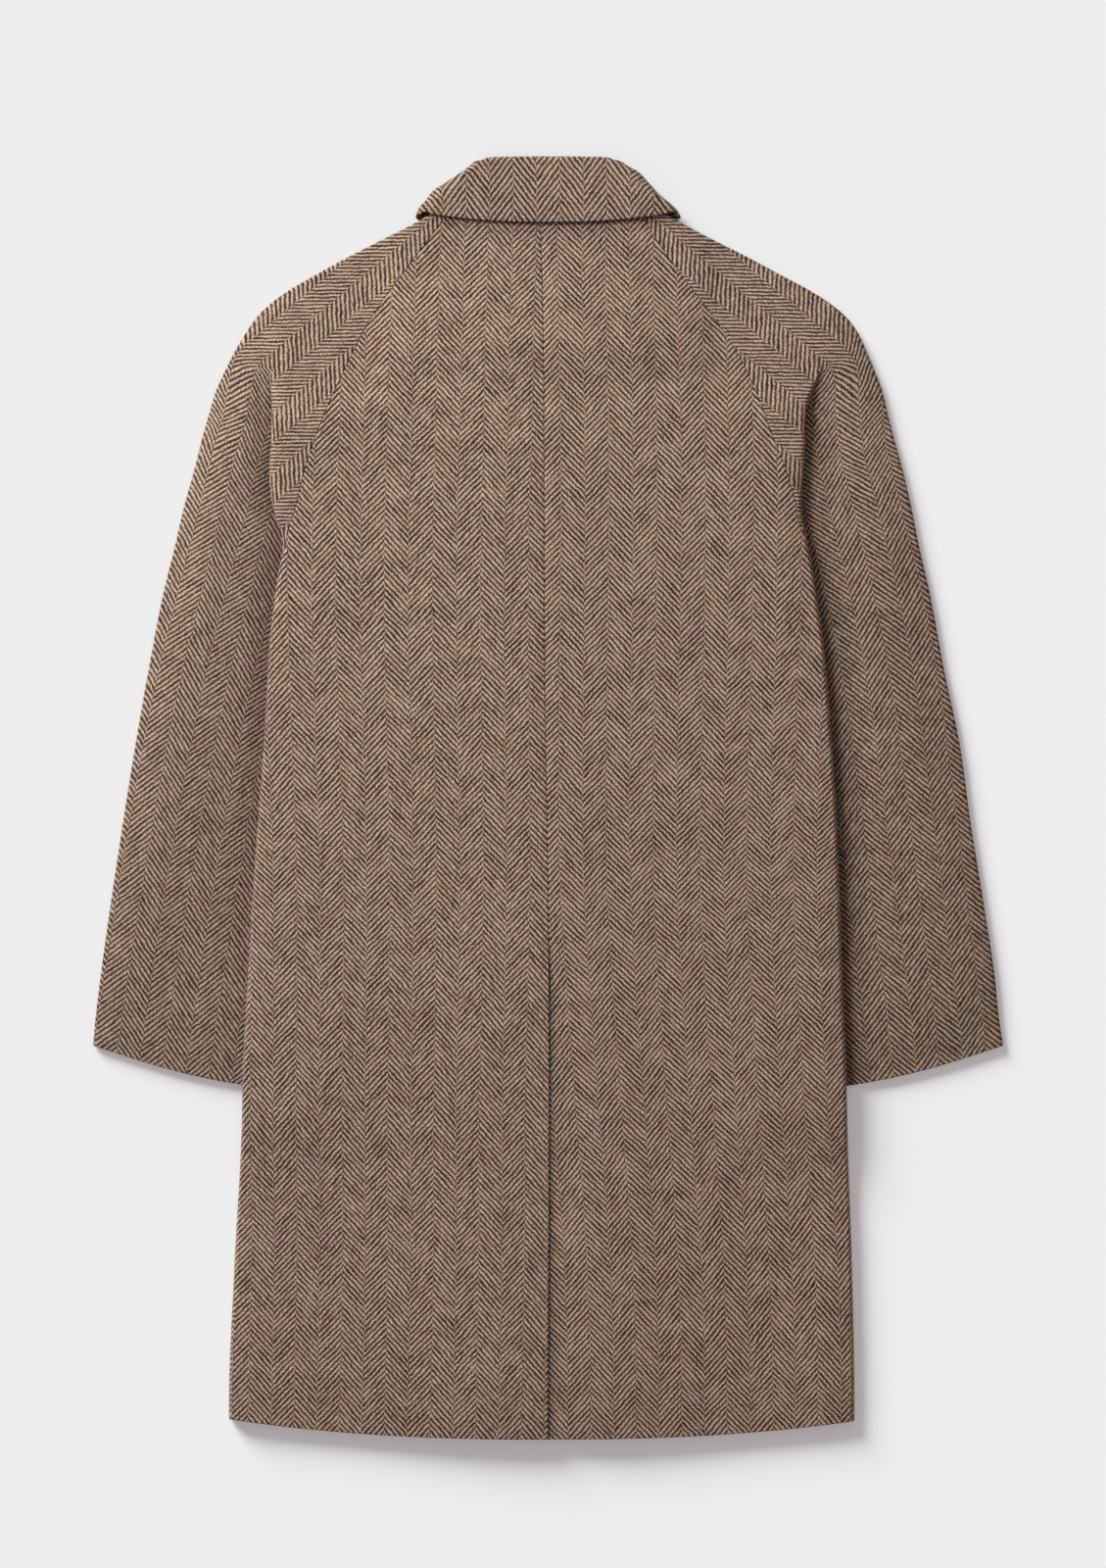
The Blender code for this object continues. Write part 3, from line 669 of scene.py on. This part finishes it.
def pleat(row, line, side, height, begin):
    """The pleat of a row: it turns under at the folded edge and out again over its hidden leg."""
    turn = side.turn(height)
    leg = side.leg(height)
    edge = side.edge(height) - line.start[0]
    top = sleeve_level(side.edge(height), height) + LAYER + side.drop(height)
    first = begin / FOLD
    if first < turn - LEAST_PLEAT_TURN:
        for angle in even(first, turn, TURN_STEPS):
            line.add(row, 1 + angle / turn, edge + FOLD * math.sin(angle),
                     top - FOLD + FOLD * math.cos(angle), math.sin(angle), math.cos(angle),
                     edge + TURN_CUT * angle)
    out = math.sin(turn)
    up = math.cos(turn)
    inward = begin - turn * FOLD
    if 0.0 < inward < leg - LEAST_LEG:
        line.add(row, 2.0 + inward / leg, edge - inward, top - LAYER, 0.0, -1.0)
    centre_run = edge + 2 * FOLD * out + leg * up
    centre_level = top - FOLD + 2 * FOLD * up - leg * out
    foot_turn = turn - max(0.0, inward - leg) / FOLD
    for angle in even(foot_turn, 0.0, TURN_STEPS):
        line.add(row, 4 - angle / turn, centre_run - FOLD * math.sin(angle),
                 centre_level - FOLD * math.cos(angle), math.sin(angle), math.cos(angle))
    return centre_run


def sleeve_back_row(side, height, outer_height):
    """One row of the back half of a sleeve."""
    row = Row()
    if height > side.join:
        line = SleeveLine(side, (side.raglan(height), height), outer_height)
        outer = line.length - HALF - FOLD
        first = SEAM / 2
        if side.turn(height) > LEAST_TURN:
            edge = side.edge(height) - line.start[0]
            top = sleeve_level(side.edge(height), height) + LAYER + side.drop(height)
            for run in spread(first, edge, WEDGE_STEPS)[:-1]:
                line.add(row, (run - first) / (edge - first), run, top)
            split = pleat(row, line, side, height, 0.0) + PLEAT_CLEAR
        else:
            split = first + PLEAT_SHARE * (outer - first)
            flat_run(row, line, spread(first, split, WEDGE_STEPS), 0.0, 1.0, False)
        flat_run(row, line, even(split, outer, SLEEVE_STEPS), 4.1, 5.0, False)
    elif height >= UNDERARM:
        line = SleeveLine(side, (0.0, height), outer_height)
        begin = side.seam_run(height) + SEAM / 2
        if height == UNDERARM:
            begin += FOLD * math.pi / 2
        split = pleat(row, line, side, height, begin) + UNDERARM_CLEAR
        flat_run(row, line, even(split, line.length - HALF - FOLD, SLEEVE_STEPS), 4.1, 5.0, False)
    else:
        line = SleeveLine(side, (sleeve_inner(height), height), outer_height)
        if height < INNER_TURN_TOP:
            inner_turn(row, line, False)
        flat_run(row, line, even(FOLD, line.length - HALF - FOLD, SLEEVE_STEPS), 4.1, 5.0, False)
    outer_turn(row, line, False)
    return row


def sleeve_front_row(side, height, outer_height):
    """One row of the front half of a sleeve, which lies on the floor."""
    row = Row()
    if height >= UNDERARM:
        line = SleeveLine(side, (raglan_front(height), height), outer_height)
        first = SEAM / 2
    else:
        line = SleeveLine(side, (sleeve_inner(height), height), outer_height)
        first = FOLD
        if height < INNER_TURN_TOP:
            inner_turn(row, line, True)
    flat_run(row, line, even(first, line.length - HALF - FOLD, SLEEVE_STEPS), 4.0, 5.0, True)
    outer_turn(row, line, True)
    return row


def collar_station(side, station, lean, sink):
    """One line of the collar, over its fold: lean 1 is on the back, -1 underneath, 0 at the side."""
    fold_x, fold_h, edge_x, edge_h, share = station
    fold = np.array([fold_x, fold_h])
    run = np.array([edge_x - fold_x, edge_h - fold_h])
    length = float(np.linalg.norm(run))
    run = run / length
    side_out = np.array([-run[1], run[0]])
    swing = math.sqrt(max(0.0, 1 - lean * lean))
    axis_level = FLOOR + 1.5 * LAYER
    row = Row()

    def add(key, down, radius, toward, outward, past_fold):
        share = min(1.0, max(0.0, down) / length)
        shift = COLLAR_CORNER * swing * (1 - share)
        fuller = COLLAR_CORNER_SHARE + (1 - COLLAR_CORNER_SHARE) * smooth(down / COLLAR_CORNER_RUN)
        plan = fold + run * (down + shift) + side_out * swing * (radius * fuller + side.collar(share))
        face = run * toward + side_out * swing * outward
        level = axis_level + lean * radius
        if lean > 0:
            level -= sink * (1 - share) * lean
            level += (COLLAR_ROLL * (1 - share * share) + COLLAR_EDGE_LIFT * share) * lean
        arc = (LAYER + FOLD) * math.acos(lean) + side.collar(share) * (swing if lean > 0 else 2 - swing)
        cut = tuple(fold + run * down + side_out * arc) if past_fold == 0 else (plan[0], fold_h + past_fold)
        row.add(key, plan[0], plan[1], level, face[0], lean * outward, face[1], cut)

    for down in spread(length, 0.0, COLLAR_FALL_STEPS)[:-1]:
        add(1 - down / length, down, LAYER + FOLD, 0.0, 1.0, 0.0)
    for angle in even(0.0, math.pi, TURN_STEPS):
        add(1 + angle / math.pi, -FOLD * math.sin(angle), LAYER + FOLD * math.cos(angle),
            -math.sin(angle), math.cos(angle), FOLD * angle)
    for down in spread(0.0, length * share, COLLAR_STAND_STEPS)[1:]:
        add(2 + down / (length * share), down, FOLD, 0.0, -1.0, math.pi * FOLD + down)
    return row


def stations_between(stations):
    """More stations on smooth curves through the given ones."""
    table = [(i,) + station for i, station in enumerate(stations)]
    curves = [curve(table, column) for column in range(1, 6)]
    count = (len(stations) - 1) * COLLAR_STATION_STEPS
    return [tuple(at(i / COLLAR_STATION_STEPS) for at in curves) for i in range(count + 1)]


def collar_half(side):
    """Rows of half the collar, from the centre back round the neck to its front end."""
    back = stations_between(COLLAR_BACK)
    rows = []
    for i, station in enumerate(back):
        rows.append(collar_station(side, station, 1.0, COLLAR_SINK * (1 - i / (len(back) - 1))))
    for i in range(1, COLLAR_TURN_STEPS):
        turned = smooth(2 * i / COLLAR_TURN_STEPS)
        station = tuple(a + (b - a) * turned for a, b in zip(COLLAR_BACK[-1], COLLAR_FRONT[0]))
        rows.append(collar_station(side, station, math.cos(math.pi * i / COLLAR_TURN_STEPS), 0.0))
    rows += [collar_station(side, station, -1.0, 0.0) for station in stations_between(COLLAR_FRONT)]
    return rows


def grain_slope(grain, height):
    """How far a column of the weave moves out for each step down."""
    return (grain(height - SLOPE_STEP) - grain(height + SLOPE_STEP)) / (2 * SLOPE_STEP)


def body_weave(side, key, across, height):
    """Column and repeat of the weave on a back or front panel."""
    grain = side.body_grain(height)
    lean = grain_slope(side.body_grain, height)
    return (across - grain) / body_column(height), (height - (across - grain) * lean) / REPEAT


def sleeve_weave(side, key, across, height):
    """Column and repeat on a sleeve: down the shoulder, round the top of the pleat, then down the arm."""
    out = across - side.edge(PLEAT_TOP)
    up = height - PLEAT_TOP
    angle = math.atan2(up, out)
    apex = side.arm_grain(PLEAT_TOP) - side.edge(PLEAT_TOP)
    if angle > SHOULDER_LEAN or (key < PLEAT_KEY and height < PLEAT_TOP):
        run = out * math.cos(SHOULDER_LEAN) + up * math.sin(SHOULDER_LEAN)
        rise = up * math.cos(SHOULDER_LEAN) - out * math.sin(SHOULDER_LEAN)
        return (run - apex) / COLUMN, (rise + SHOULDER_SHEAR * (run - apex)) / SHOULDER_REPEAT
    swung = SHOULDER_LEAN - max(angle, ARM_LEAN)
    if angle > ARM_LEAN:
        radius = math.hypot(out, up)
        shear = SHOULDER_SHEAR * (radius - apex) * (1 - swung / (SHOULDER_LEAN - ARM_LEAN))
        turned = (TURN_LEAST + TURN_SHARE * radius) * swung
        return (radius - apex) / COLUMN, shear / SHOULDER_REPEAT - turned / REPEAT
    grain = side.arm_grain(height)
    lean = math.atan(grain_slope(side.arm_grain, height))
    run = (across - grain) * math.cos(lean)
    fade = smooth(1 + up / TURN_FADE)
    turned = TURN_MEAN + (TURN_LEAST + TURN_SHARE * max(0.0, run + apex) - TURN_MEAN) * fade
    rise = up / math.cos(lean) - (across - grain) * math.sin(lean) - turned * swung
    rise -= apex * math.tan(ARM_LEAN)
    return run / COLUMN, rise / REPEAT


def collar_weave(side, key, across, height):
    return (side.sign * across - COLLAR_APEX) / COLUMN, height / COLLAR_REPEAT


def rounded(distance, run):
    """A rise from 0 at an edge to 1 over a run, steepest at the edge."""
    share = min(1.0, max(0.0, distance / run))
    return share * (2 - share)


def fullness(side, key, across, height, sleeve):
    """How far the upper layer of cloth stands up at a place."""
    edge = side.edge(height)
    pleated = smooth((PLEAT_SOFT_TOP - height) / PLEAT_SOFT_RUN)
    lift = BODY_FULL * rounded(side.outer(height) - across, OUTER_ROLL)
    if sleeve and key > PLEAT_KEY:
        cuff_across, cuff_height, cuff_slope = CUFF_LINE
        cuff = height - cuff_height - cuff_slope * (across - cuff_across)
        if side is LEFT:
            beside = rounded(across - edge, SLEEVE_ROLL)
        else:
            beside = smooth((across - edge) / SLEEVE_HOLLOW)
        beside *= side.full(height) * rounded(cuff, CUFF_ROLL)
        beside *= rounded(side.outer(height) - across, OUTER_ROLL)
        beside -= SLEEVE_DIP * rounded(SLEEVE_ROLL - abs(across - edge), SLEEVE_ROLL)
    else:
        beside = BODY_EDGE_FULL + (BODY_FULL - BODY_EDGE_FULL) * rounded(edge - across, BODY_ROLL)
    lift += (beside - lift) * pleated
    hem = HEM_SHARE + (1 - HEM_SHARE) * rounded(height, HEM_ROLL)
    return lift * hem * smooth((NECK_FLAT - height) / NECK_ROLL)


def finished(row, side, weave, full=None):
    """Arrays of one row on its side of the coat: keys, places, faces, weave."""
    places = np.array(row.places)
    faces = np.array(row.faces)
    faces /= np.linalg.norm(faces, axis=1)[:, None]
    if full is not None:
        for i, key in enumerate(row.keys):
            lift = fullness(side, key, places[i, 0], places[i, 1], full == "sleeve")
            places[i, 2] += lift * max(0.0, faces[i, 2])
    places[:, 0] *= side.sign
    faces[:, 0] *= side.sign
    cloth = np.array([weave(side, key, *cut) for key, cut in zip(row.keys, row.cuts)])
    return row.keys, places, faces, cloth


def coat_panels():
    """The finished rows of every panel by name."""
    panels = {}
    for side in (LEFT, RIGHT):
        back = finer(BACK_TOP_ROWS + UNDERARM_ROWS + LOWER_ROWS, ROW_STEP)
        panels["back_" + side.name] = [
            finished(back_row(side, float(h[0])), side, body_weave, "body") for h in back]
        front = finer(FRONT_TOP_ROWS + UNDERARM_ROWS + LOWER_ROWS, ROW_STEP)
        panels["front_" + side.name] = [
            finished(front_row(side, float(h[0])), side, body_weave) for h in front]
        arm = [(h, h, h) for h in PLEAT_ROWS + UNDERARM_ROWS]
        arm = finer(list(SHOULDER_ROWS) + arm + [(h, h, outer) for h, outer in ARM_ROWS], ROW_STEP)
        panels[f"sleeve_{side.name}_back"] = [
            finished(sleeve_back_row(side, float(h), float(outer)), side, sleeve_weave, "sleeve")
            for h, _, outer in arm]
        panels[f"sleeve_{side.name}_front"] = [
            finished(sleeve_front_row(side, float(h), float(outer)), side, sleeve_weave)
            for _, h, outer in arm]
    left = [finished(row, LEFT, collar_weave) for row in reversed(collar_half(LEFT))]
    panels["collar"] = left + [finished(row, RIGHT, collar_weave) for row in collar_half(RIGHT)[1:]]
    return panels


def stitch(keys_a, keys_b):
    """Triangles between two rows, as steps along the first row and the second."""
    i = j = 0
    triangles = []
    while i < len(keys_a) - 1 or j < len(keys_b) - 1:
        next_a = keys_a[i + 1] if i < len(keys_a) - 1 else math.inf
        next_b = keys_b[j + 1] if j < len(keys_b) - 1 else math.inf
        if next_a <= next_b:
            triangles.append(((0, i), (1, j), (0, i + 1)))
            i += 1
        else:
            triangles.append(((0, i), (1, j), (1, j + 1)))
            j += 1
    return triangles


def creases(places):
    """Rise of the soft ridges and troughs at each place, with the droop at hem and cuffs."""
    across = places[:, 0]
    height = places[:, 1]
    rise = np.zeros(len(places))
    for x0, h0, x1, h1, width, top in CREASES:
        way = np.array([x1 - x0, h1 - h0], float)
        length = float(np.linalg.norm(way))
        way /= length
        along = ((across - x0) * way[0] + (height - h0) * way[1]) / length
        off = (across - x0) * way[1] - (height - h0) * way[0]
        past = np.maximum(0.0, np.abs(along - 0.5) - 0.5) * length / width
        bend = np.clip((along - CREASE_PEAK) * CREASE_TAPER, -CREASE_END, CREASE_END)
        taper = CREASE_LEAST + CREASE_MORE * np.cos(bend)
        rise += top * taper * np.exp(-(off / width) ** 2 - past ** 2)
    rise -= HEM_DROOP * np.clip(1 - height / HEM_DROOP_RUN, 0, 1) ** 2
    cuff_across, cuff_height, cuff_slope = CUFF_DROOP_LINE
    cuff = (height - cuff_height - cuff_slope * (np.abs(across) - cuff_across)) / CUFF_DROOP_RUN
    on_cuff = (np.abs(across) > CUFF_DROOP_ACROSS) & (height > CUFF_DROOP_LOW)
    rise -= CUFF_DROOP * np.where(on_cuff, np.clip(1 - cuff, 0, 1) ** 2, 0.0)
    return rise


def edge_shares(rows):
    """How much of the wall's thickness is left at each point, so that edges and seams round off."""
    middles = np.array([row[1].mean(axis=0) for row in rows])
    runs = np.concatenate([[0.0], np.cumsum(np.linalg.norm(np.diff(middles, axis=0), axis=1))])
    shares = []
    for row, run in zip(rows, runs):
        steps = np.linalg.norm(np.diff(row[1], axis=0), axis=1)
        along = np.concatenate([[0.0], np.cumsum(steps)])
        inside = np.minimum(np.minimum(along, along[-1] - along), min(run, runs[-1] - run))
        depth = 1 - np.clip(inside / EDGE_ROUND, 0, 1)
        shares.append(np.maximum(EDGE_LEAST, np.sqrt(1 - depth * depth)))
    return np.concatenate(shares)


def row_painted_shade(name, row):
    """How much painted shade darkens the cloth of a row."""
    keys, places = row[0], row[1]
    if name.startswith("collar"):
        return np.full(len(keys), COLLAR_PAINTED_SHADE)
    if name.startswith("sleeve"):
        return np.array([
            ARM_PAINTED_SHADE * smooth((ARM_PAINTED_SHADE_TOP - place[1]) / ARM_PAINTED_SHADE_RUN) if key > PLEAT_KEY else 0.0
            for key, place in zip(keys, places)])
    return np.zeros(len(keys))


def cloth_piece(name, rows, seed, creased, material):
    """A panel as a closed wall, with its weave coordinates on its points."""
    starts = np.cumsum([0] + [len(row[0]) for row in rows])
    count = int(starts[-1])
    places = np.concatenate([row[1] for row in rows])
    faces = np.concatenate([row[2] for row in rows])
    weave = np.concatenate([row[3] for row in rows])
    if creased:
        places[:, 2] += creases(places) * np.clip(faces[:, 2], 0, 1)
    offset = faces * (HALF * edge_shares(rows))[:, None]
    points = np.concatenate([places + offset, places - offset])
    points -= np.array([0.0, -cad_box[0][1] * 1000, 0.0])
    triangles = []
    for r in range(len(rows) - 1):
        for corners in stitch(rows[r][0], rows[r + 1][0]):
            triangles.append(tuple(int(starts[r + which]) + step for which, step in corners))
    solid = triangles + [tuple(count + p for p in reversed(t)) for t in triangles]
    rim = [int(starts[0]) + i for i in range(len(rows[0][0]))]
    rim += [int(starts[r + 1]) - 1 for r in range(1, len(rows))]
    rim += [int(starts[-2]) + i for i in range(len(rows[-1][0]) - 2, -1, -1)]
    rim += [int(starts[r]) for r in range(len(rows) - 2, 0, -1)]
    for a, b in zip(rim, rim[1:] + rim[:1]):
        solid.append((a, b, count + b))
        solid.append((a, count + b, count + a))
    corners = np.array(solid)
    a, b, c = (points[corners[:, k]] for k in range(3))
    if float(np.einsum("ij,ij->i", a, np.cross(b, c)).sum()) < 0:
        corners = corners[:, ::-1]
    mesh = bpy.data.meshes.new(name)
    mesh.from_pydata((points / 1000).tolist(), [], corners.tolist())
    field = mesh.attributes.new("weave", "FLOAT_VECTOR", "POINT")
    vectors = np.hstack([np.vstack([weave, weave]), np.full((2 * count, 1), seed)])
    field.data.foreach_set("vector", vectors.astype(np.float32).ravel())
    # Painted shade on the arms and collar, carried to the material as a point attribute
    painted_shades = np.concatenate([row_painted_shade(name, row) for row in rows])
    field = mesh.attributes.new("painted_shade", "FLOAT", "POINT")
    field.data.foreach_set("value", np.concatenate([painted_shades, painted_shades]).astype(np.float32))
    mesh.shade_smooth()
    mesh.materials.append(material)
    piece = bpy.data.objects.new(name, mesh)
    bpy.context.scene.collection.objects.link(piece)
    return piece


class Nodes:
    """Short calls that add nodes to a material."""

    def __init__(self, material):
        material.use_nodes = True
        self.tree = material.node_tree
        self.shader = self.tree.nodes["Principled BSDF"]

    def feed(self, socket, value):
        if isinstance(value, bpy.types.NodeSocket):
            self.tree.links.new(value, socket)
        else:
            socket.default_value = value

    def math(self, operation, *values):
        node = self.tree.nodes.new("ShaderNodeMath")
        node.operation = operation
        for socket, value in zip(node.inputs, values):
            self.feed(socket, value)
        return node.outputs[0]

    def noise(self, place, pattern):
        """Noise from 0 to 1 over the cloth, with so many grains to a column and a repeat."""
        across, along, seed = place
        to_column, to_repeat, detail, shift = pattern
        node = self.tree.nodes.new("ShaderNodeCombineXYZ")
        self.feed(node.inputs[0], self.math("MULTIPLY", across, to_column))
        self.feed(node.inputs[1], self.math("MULTIPLY", along, to_repeat))
        self.feed(node.inputs[2], self.math("ADD", seed, shift))
        texture = self.tree.nodes.new("ShaderNodeTexNoise")
        texture.inputs["Scale"].default_value = 1.0
        texture.inputs["Detail"].default_value = detail
        self.tree.links.new(node.outputs[0], texture.inputs["Vector"])
        return texture.outputs[0]

    def centred(self, value, reach):
        """A value from 0 to 1 made to swing about 0 over a reach."""
        return self.math("MULTIPLY_ADD", value, reach, -reach / 2)

    def ramp(self, value, low, high, bottom=0.0, top=1.0):
        """A soft step from bottom to top as the value goes from low to high."""
        node = self.tree.nodes.new("ShaderNodeMapRange")
        node.interpolation_type = "SMOOTHSTEP"
        for socket, number in zip(node.inputs, (value, low, high, bottom, top)):
            self.feed(socket, number)
        return node.outputs[0]

    def blend(self, share, first, second):
        node = self.tree.nodes.new("ShaderNodeMix")
        node.data_type = "RGBA"
        self.feed(node.inputs[0], share)
        self.feed(node.inputs[6], first)
        self.feed(node.inputs[7], second)
        return node.outputs[2]


# Yarn colours
CREAM = (0.56, 0.435, 0.345, 1)
OAT = (0.345, 0.25, 0.19, 1)
ROSE = (0.33, 0.19, 0.135, 1)
BROWN = (0.085, 0.052, 0.034, 1)
BARK = (0.036, 0.02, 0.0125, 1)
RUST = (0.2, 0.08, 0.042, 1)
OCHRE = (0.34, 0.215, 0.09, 1)
SLATE = (0.095, 0.085, 0.085, 1)

# Unevenness of the weave (grains to a column, grains to a repeat, detail, shift)
WANDER = (1.4, 0.9, 2.0, 3.1)
EDGE_WANDER = (0.2, 0.35, 2.0, 9.4)
STREAK = (2.4, 0.8, 3.0, 17.3)
GRAIN = (13.0, 3.6, 2.0, 31.7)
MOTTLE = (0.5, 0.3, 3.0, 47.9)
ROSY = (1.6, 0.9, 2.0, 53.3)
FIBRE = (40.0, 12.0, 3.0, 101.9)

# How far each of them moves the lines, or the balance of light and dark yarn
WANDER_REACH = 0.44
EDGE_WANDER_REACH = 0.14
MOTTLE_REACH = 0.7
STREAK_REACH = 1.3
GRAIN_REACH = 1.5
BEAD_REACH = 0.28
LIGHT_FROM = -0.55
LIGHT_TO = 0.85
PALE_ROSE = 0.4
DEEP_RUST = 0.35

# Flecks of coloured yarn (colour, unevenness, from, to, most)
FLECKS = (
    (RUST, (4.0, 1.5, 2.0, 61.3), 0.64, 0.74, 0.45),
    (OCHRE, (4.5, 1.7, 2.0, 73.1), 0.66, 0.75, 0.45),
    (SLATE, (3.4, 1.4, 2.0, 89.7), 0.63, 0.74, 0.35),
)

# Relief of the yarns
YARNS = 16.0
LINE_RELIEF = 0.6
YARN_RELIEF = 0.5
FIBRE_RELIEF = 0.5
BUMP_STRENGTH = 0.5
BUMP_DEPTH = 0.0006


def herringbone_tweed():
    """Broken herringbone: twill lines that turn at each column and meet half a line apart."""
    material = bpy.data.materials.new("herringbone_tweed")
    nodes = Nodes(material)
    attribute = nodes.tree.nodes.new("ShaderNodeAttribute")
    attribute.attribute_name = "weave"
    parts = nodes.tree.nodes.new("ShaderNodeSeparateXYZ")
    nodes.tree.links.new(attribute.outputs["Vector"], parts.inputs[0])
    place = tuple(parts.outputs)
    across, along, seed = place

    wander = nodes.centred(nodes.noise(place, WANDER), WANDER_REACH)
    edge_wander = nodes.centred(nodes.noise(place, EDGE_WANDER), EDGE_WANDER_REACH)
    column = nodes.math("ADD", across, edge_wander)
    zigzag = nodes.math("PINGPONG", column, 1.0)
    parity = nodes.math("FLOORED_MODULO", nodes.math("FLOOR", column), 2.0)
    line = nodes.math("MULTIPLY_ADD", zigzag, LINES_PER_COLUMN, nodes.math("ADD", along, wander))
    line = nodes.math("MULTIPLY_ADD", parity, 0.5, line)
    wave = nodes.math("SINE", nodes.math("MULTIPLY", line, 2 * math.pi))

    pick = (across, line, seed)
    streak = nodes.noise(pick, STREAK)
    grain = nodes.noise(place, GRAIN)
    mottle = nodes.noise(place, MOTTLE)
    rosy = nodes.ramp(nodes.noise(pick, ROSY), 0.5, 0.75)
    lean = nodes.centred(mottle, MOTTLE_REACH)
    lean = nodes.math("ADD", lean, nodes.centred(streak, STREAK_REACH))
    lean = nodes.math("ADD", lean, nodes.centred(grain, GRAIN_REACH))
    bead = nodes.math("SINE", nodes.math("MULTIPLY", nodes.math("ADD", across, wander), 2 * math.pi * BEADS))
    lean = nodes.math("MULTIPLY_ADD", bead, BEAD_REACH, lean)
    light = nodes.ramp(nodes.math("ADD", wave, lean), LIGHT_FROM, LIGHT_TO)

    pale = nodes.blend(nodes.ramp(grain, 0.3, 0.7), OAT, CREAM)
    pale = nodes.blend(nodes.math("MULTIPLY", rosy, PALE_ROSE), pale, ROSE)
    deep = nodes.blend(nodes.ramp(streak, 0.35, 0.7), BARK, BROWN)
    deep = nodes.blend(nodes.math("MULTIPLY", rosy, DEEP_RUST), deep, RUST)
    colour = nodes.blend(light, deep, pale)
    for tint, pattern, low, high, most in FLECKS:
        spots = nodes.ramp(nodes.noise(pick, pattern), low, high, 0.0, most)
        colour = nodes.blend(spots, colour, tint)

    # Painted shade: the colour is blended toward the darkest yarn where the arms and collar carry it
    painted_shade = nodes.tree.nodes.new("ShaderNodeAttribute")
    painted_shade.attribute_name = "painted_shade"
    colour = nodes.blend(painted_shade.outputs["Fac"], colour, BARK)

    yarn = nodes.math("PINGPONG", nodes.math("MULTIPLY", across, YARNS), 0.5)
    fibre = nodes.noise(place, FIBRE)
    height = nodes.math("MULTIPLY_ADD", light, LINE_RELIEF, nodes.math("MULTIPLY", yarn, YARN_RELIEF))
    height = nodes.math("MULTIPLY_ADD", fibre, FIBRE_RELIEF, height)
    bump = nodes.tree.nodes.new("ShaderNodeBump")
    bump.inputs["Strength"].default_value = BUMP_STRENGTH
    bump.inputs["Distance"].default_value = BUMP_DEPTH
    nodes.feed(bump.inputs["Height"], height)

    shader = nodes.shader
    nodes.feed(shader.inputs["Base Color"], colour)
    nodes.feed(shader.inputs["Normal"], bump.outputs[0])
    shader.inputs["Roughness"].default_value = 0.95
    shader.inputs["Specular IOR Level"].default_value = 0.2
    shader.inputs["Sheen Weight"].default_value = 0.12
    shader.inputs["Sheen Roughness"].default_value = 0.5
    shader.inputs["Sheen Tint"].default_value = (1.0, 0.93, 0.86, 1)
    return material


# Floor in metres, a hair below the cloth so that the two never share a face
FLOOR_REACH = 6.0
FLOOR_DROP = 0.0004
PAPER = (0.88, 0.88, 0.885, 1)


def make_floor():
    mesh = bpy.data.meshes.new("floor")
    corners = [(x * FLOOR_REACH, y * FLOOR_REACH, 0) for x, y in ((-1, -1), (1, -1), (1, 1), (-1, 1))]
    mesh.from_pydata(corners, [], [(0, 1, 2, 3)])
    paper = bpy.data.materials.new("pale_paper")
    nodes = Nodes(paper)
    nodes.shader.inputs["Base Color"].default_value = PAPER
    nodes.shader.inputs["Roughness"].default_value = 0.9
    nodes.shader.inputs["Specular IOR Level"].default_value = 0.0
    mesh.materials.append(paper)
    floor = bpy.data.objects.new("floor", mesh)
    floor.location.z = -FLOOR_DROP
    bpy.context.scene.collection.objects.link(floor)
    return floor


def make_light(name, kind, place, energy, colour, receivers):
    """A light at a place, turned to the middle of the coat, that lights the receivers alone."""
    data = bpy.data.lights.new(name, kind)
    data.energy = energy
    data.color = colour
    item = bpy.data.objects.new(name, data)
    across, along, up = place
    item.location = place
    item.rotation_euler = (math.atan2(math.hypot(across, along), up), 0.0, math.atan2(across, -along))
    bpy.context.scene.collection.objects.link(item)
    lit = bpy.data.collections.new(name + "_receivers")
    for receiver in receivers:
        lit.objects.link(receiver)
    item.light_linking.receiver_collection = lit
    return data


def make_studio(floor, pieces):
    """A soft light and a low one from the upper left on the cloth, and two even ones on the floor."""
    key = make_light("key", "AREA", (-1.1, 1.15, 1.7), 41.5, (0.99, 0.99, 1.0), pieces)
    key.shape = "DISK"
    key.size = 0.9
    rake = make_light("rake", "SUN", (-0.82, 0.62, 0.42), 1.9, (1.0, 0.965, 0.925), pieces)
    rake.angle = math.radians(14)
    wash = make_light("wash", "SUN", (-0.6, 0.8, 0.404), 4.08, (0.972, 1.028, 1.03), [floor])
    wash.angle = math.radians(28)
    make_light("fill", "SUN", (0.0, 0.0, 1.0), 0.78, (0.905, 0.875, 0.985), [floor])
    world = bpy.data.worlds.new("studio")
    bpy.context.scene.world = world
    world.use_nodes = True
    background = world.node_tree.nodes["Background"]
    background.inputs["Color"].default_value = (1.0, 0.9, 0.79, 1)
    background.inputs["Strength"].default_value = 0.28


# Camera straight above, framed as the picture is: its view covers this height on the floor
VIEW_HEIGHT = 1.312
CAMERA_UP = 8.0
CAMERA_ACROSS = 0.0041
CAMERA_ALONG = 0.0111
SENSOR = 24.0


def make_camera():
    data = bpy.data.cameras.new("camera")
    data.sensor_fit = "VERTICAL"
    data.sensor_height = SENSOR
    data.lens = SENSOR * CAMERA_UP / VIEW_HEIGHT
    camera = bpy.data.objects.new("camera", data)
    camera.location = (CAMERA_ACROSS, CAMERA_ALONG, CAMERA_UP)
    bpy.context.scene.collection.objects.link(camera)
    bpy.context.scene.camera = camera


# Each panel's weave starts elsewhere in the unevenness
SEED_STEP = 7.3


def dress():
    tweed = herringbone_tweed()
    pieces = []
    for number, (name, rows) in enumerate(coat_panels().items()):
        creased = name.startswith("back") or name.endswith("back")
        piece = cloth_piece(name + "_cloth", rows, SEED_STEP * number, creased, tweed)
        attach(piece, "root")
        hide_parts(name)
        pieces.append(piece)
    floor = make_floor()
    make_studio(floor, pieces)
    make_camera()
    bpy.context.scene.view_settings.view_transform = "Standard"


dress()
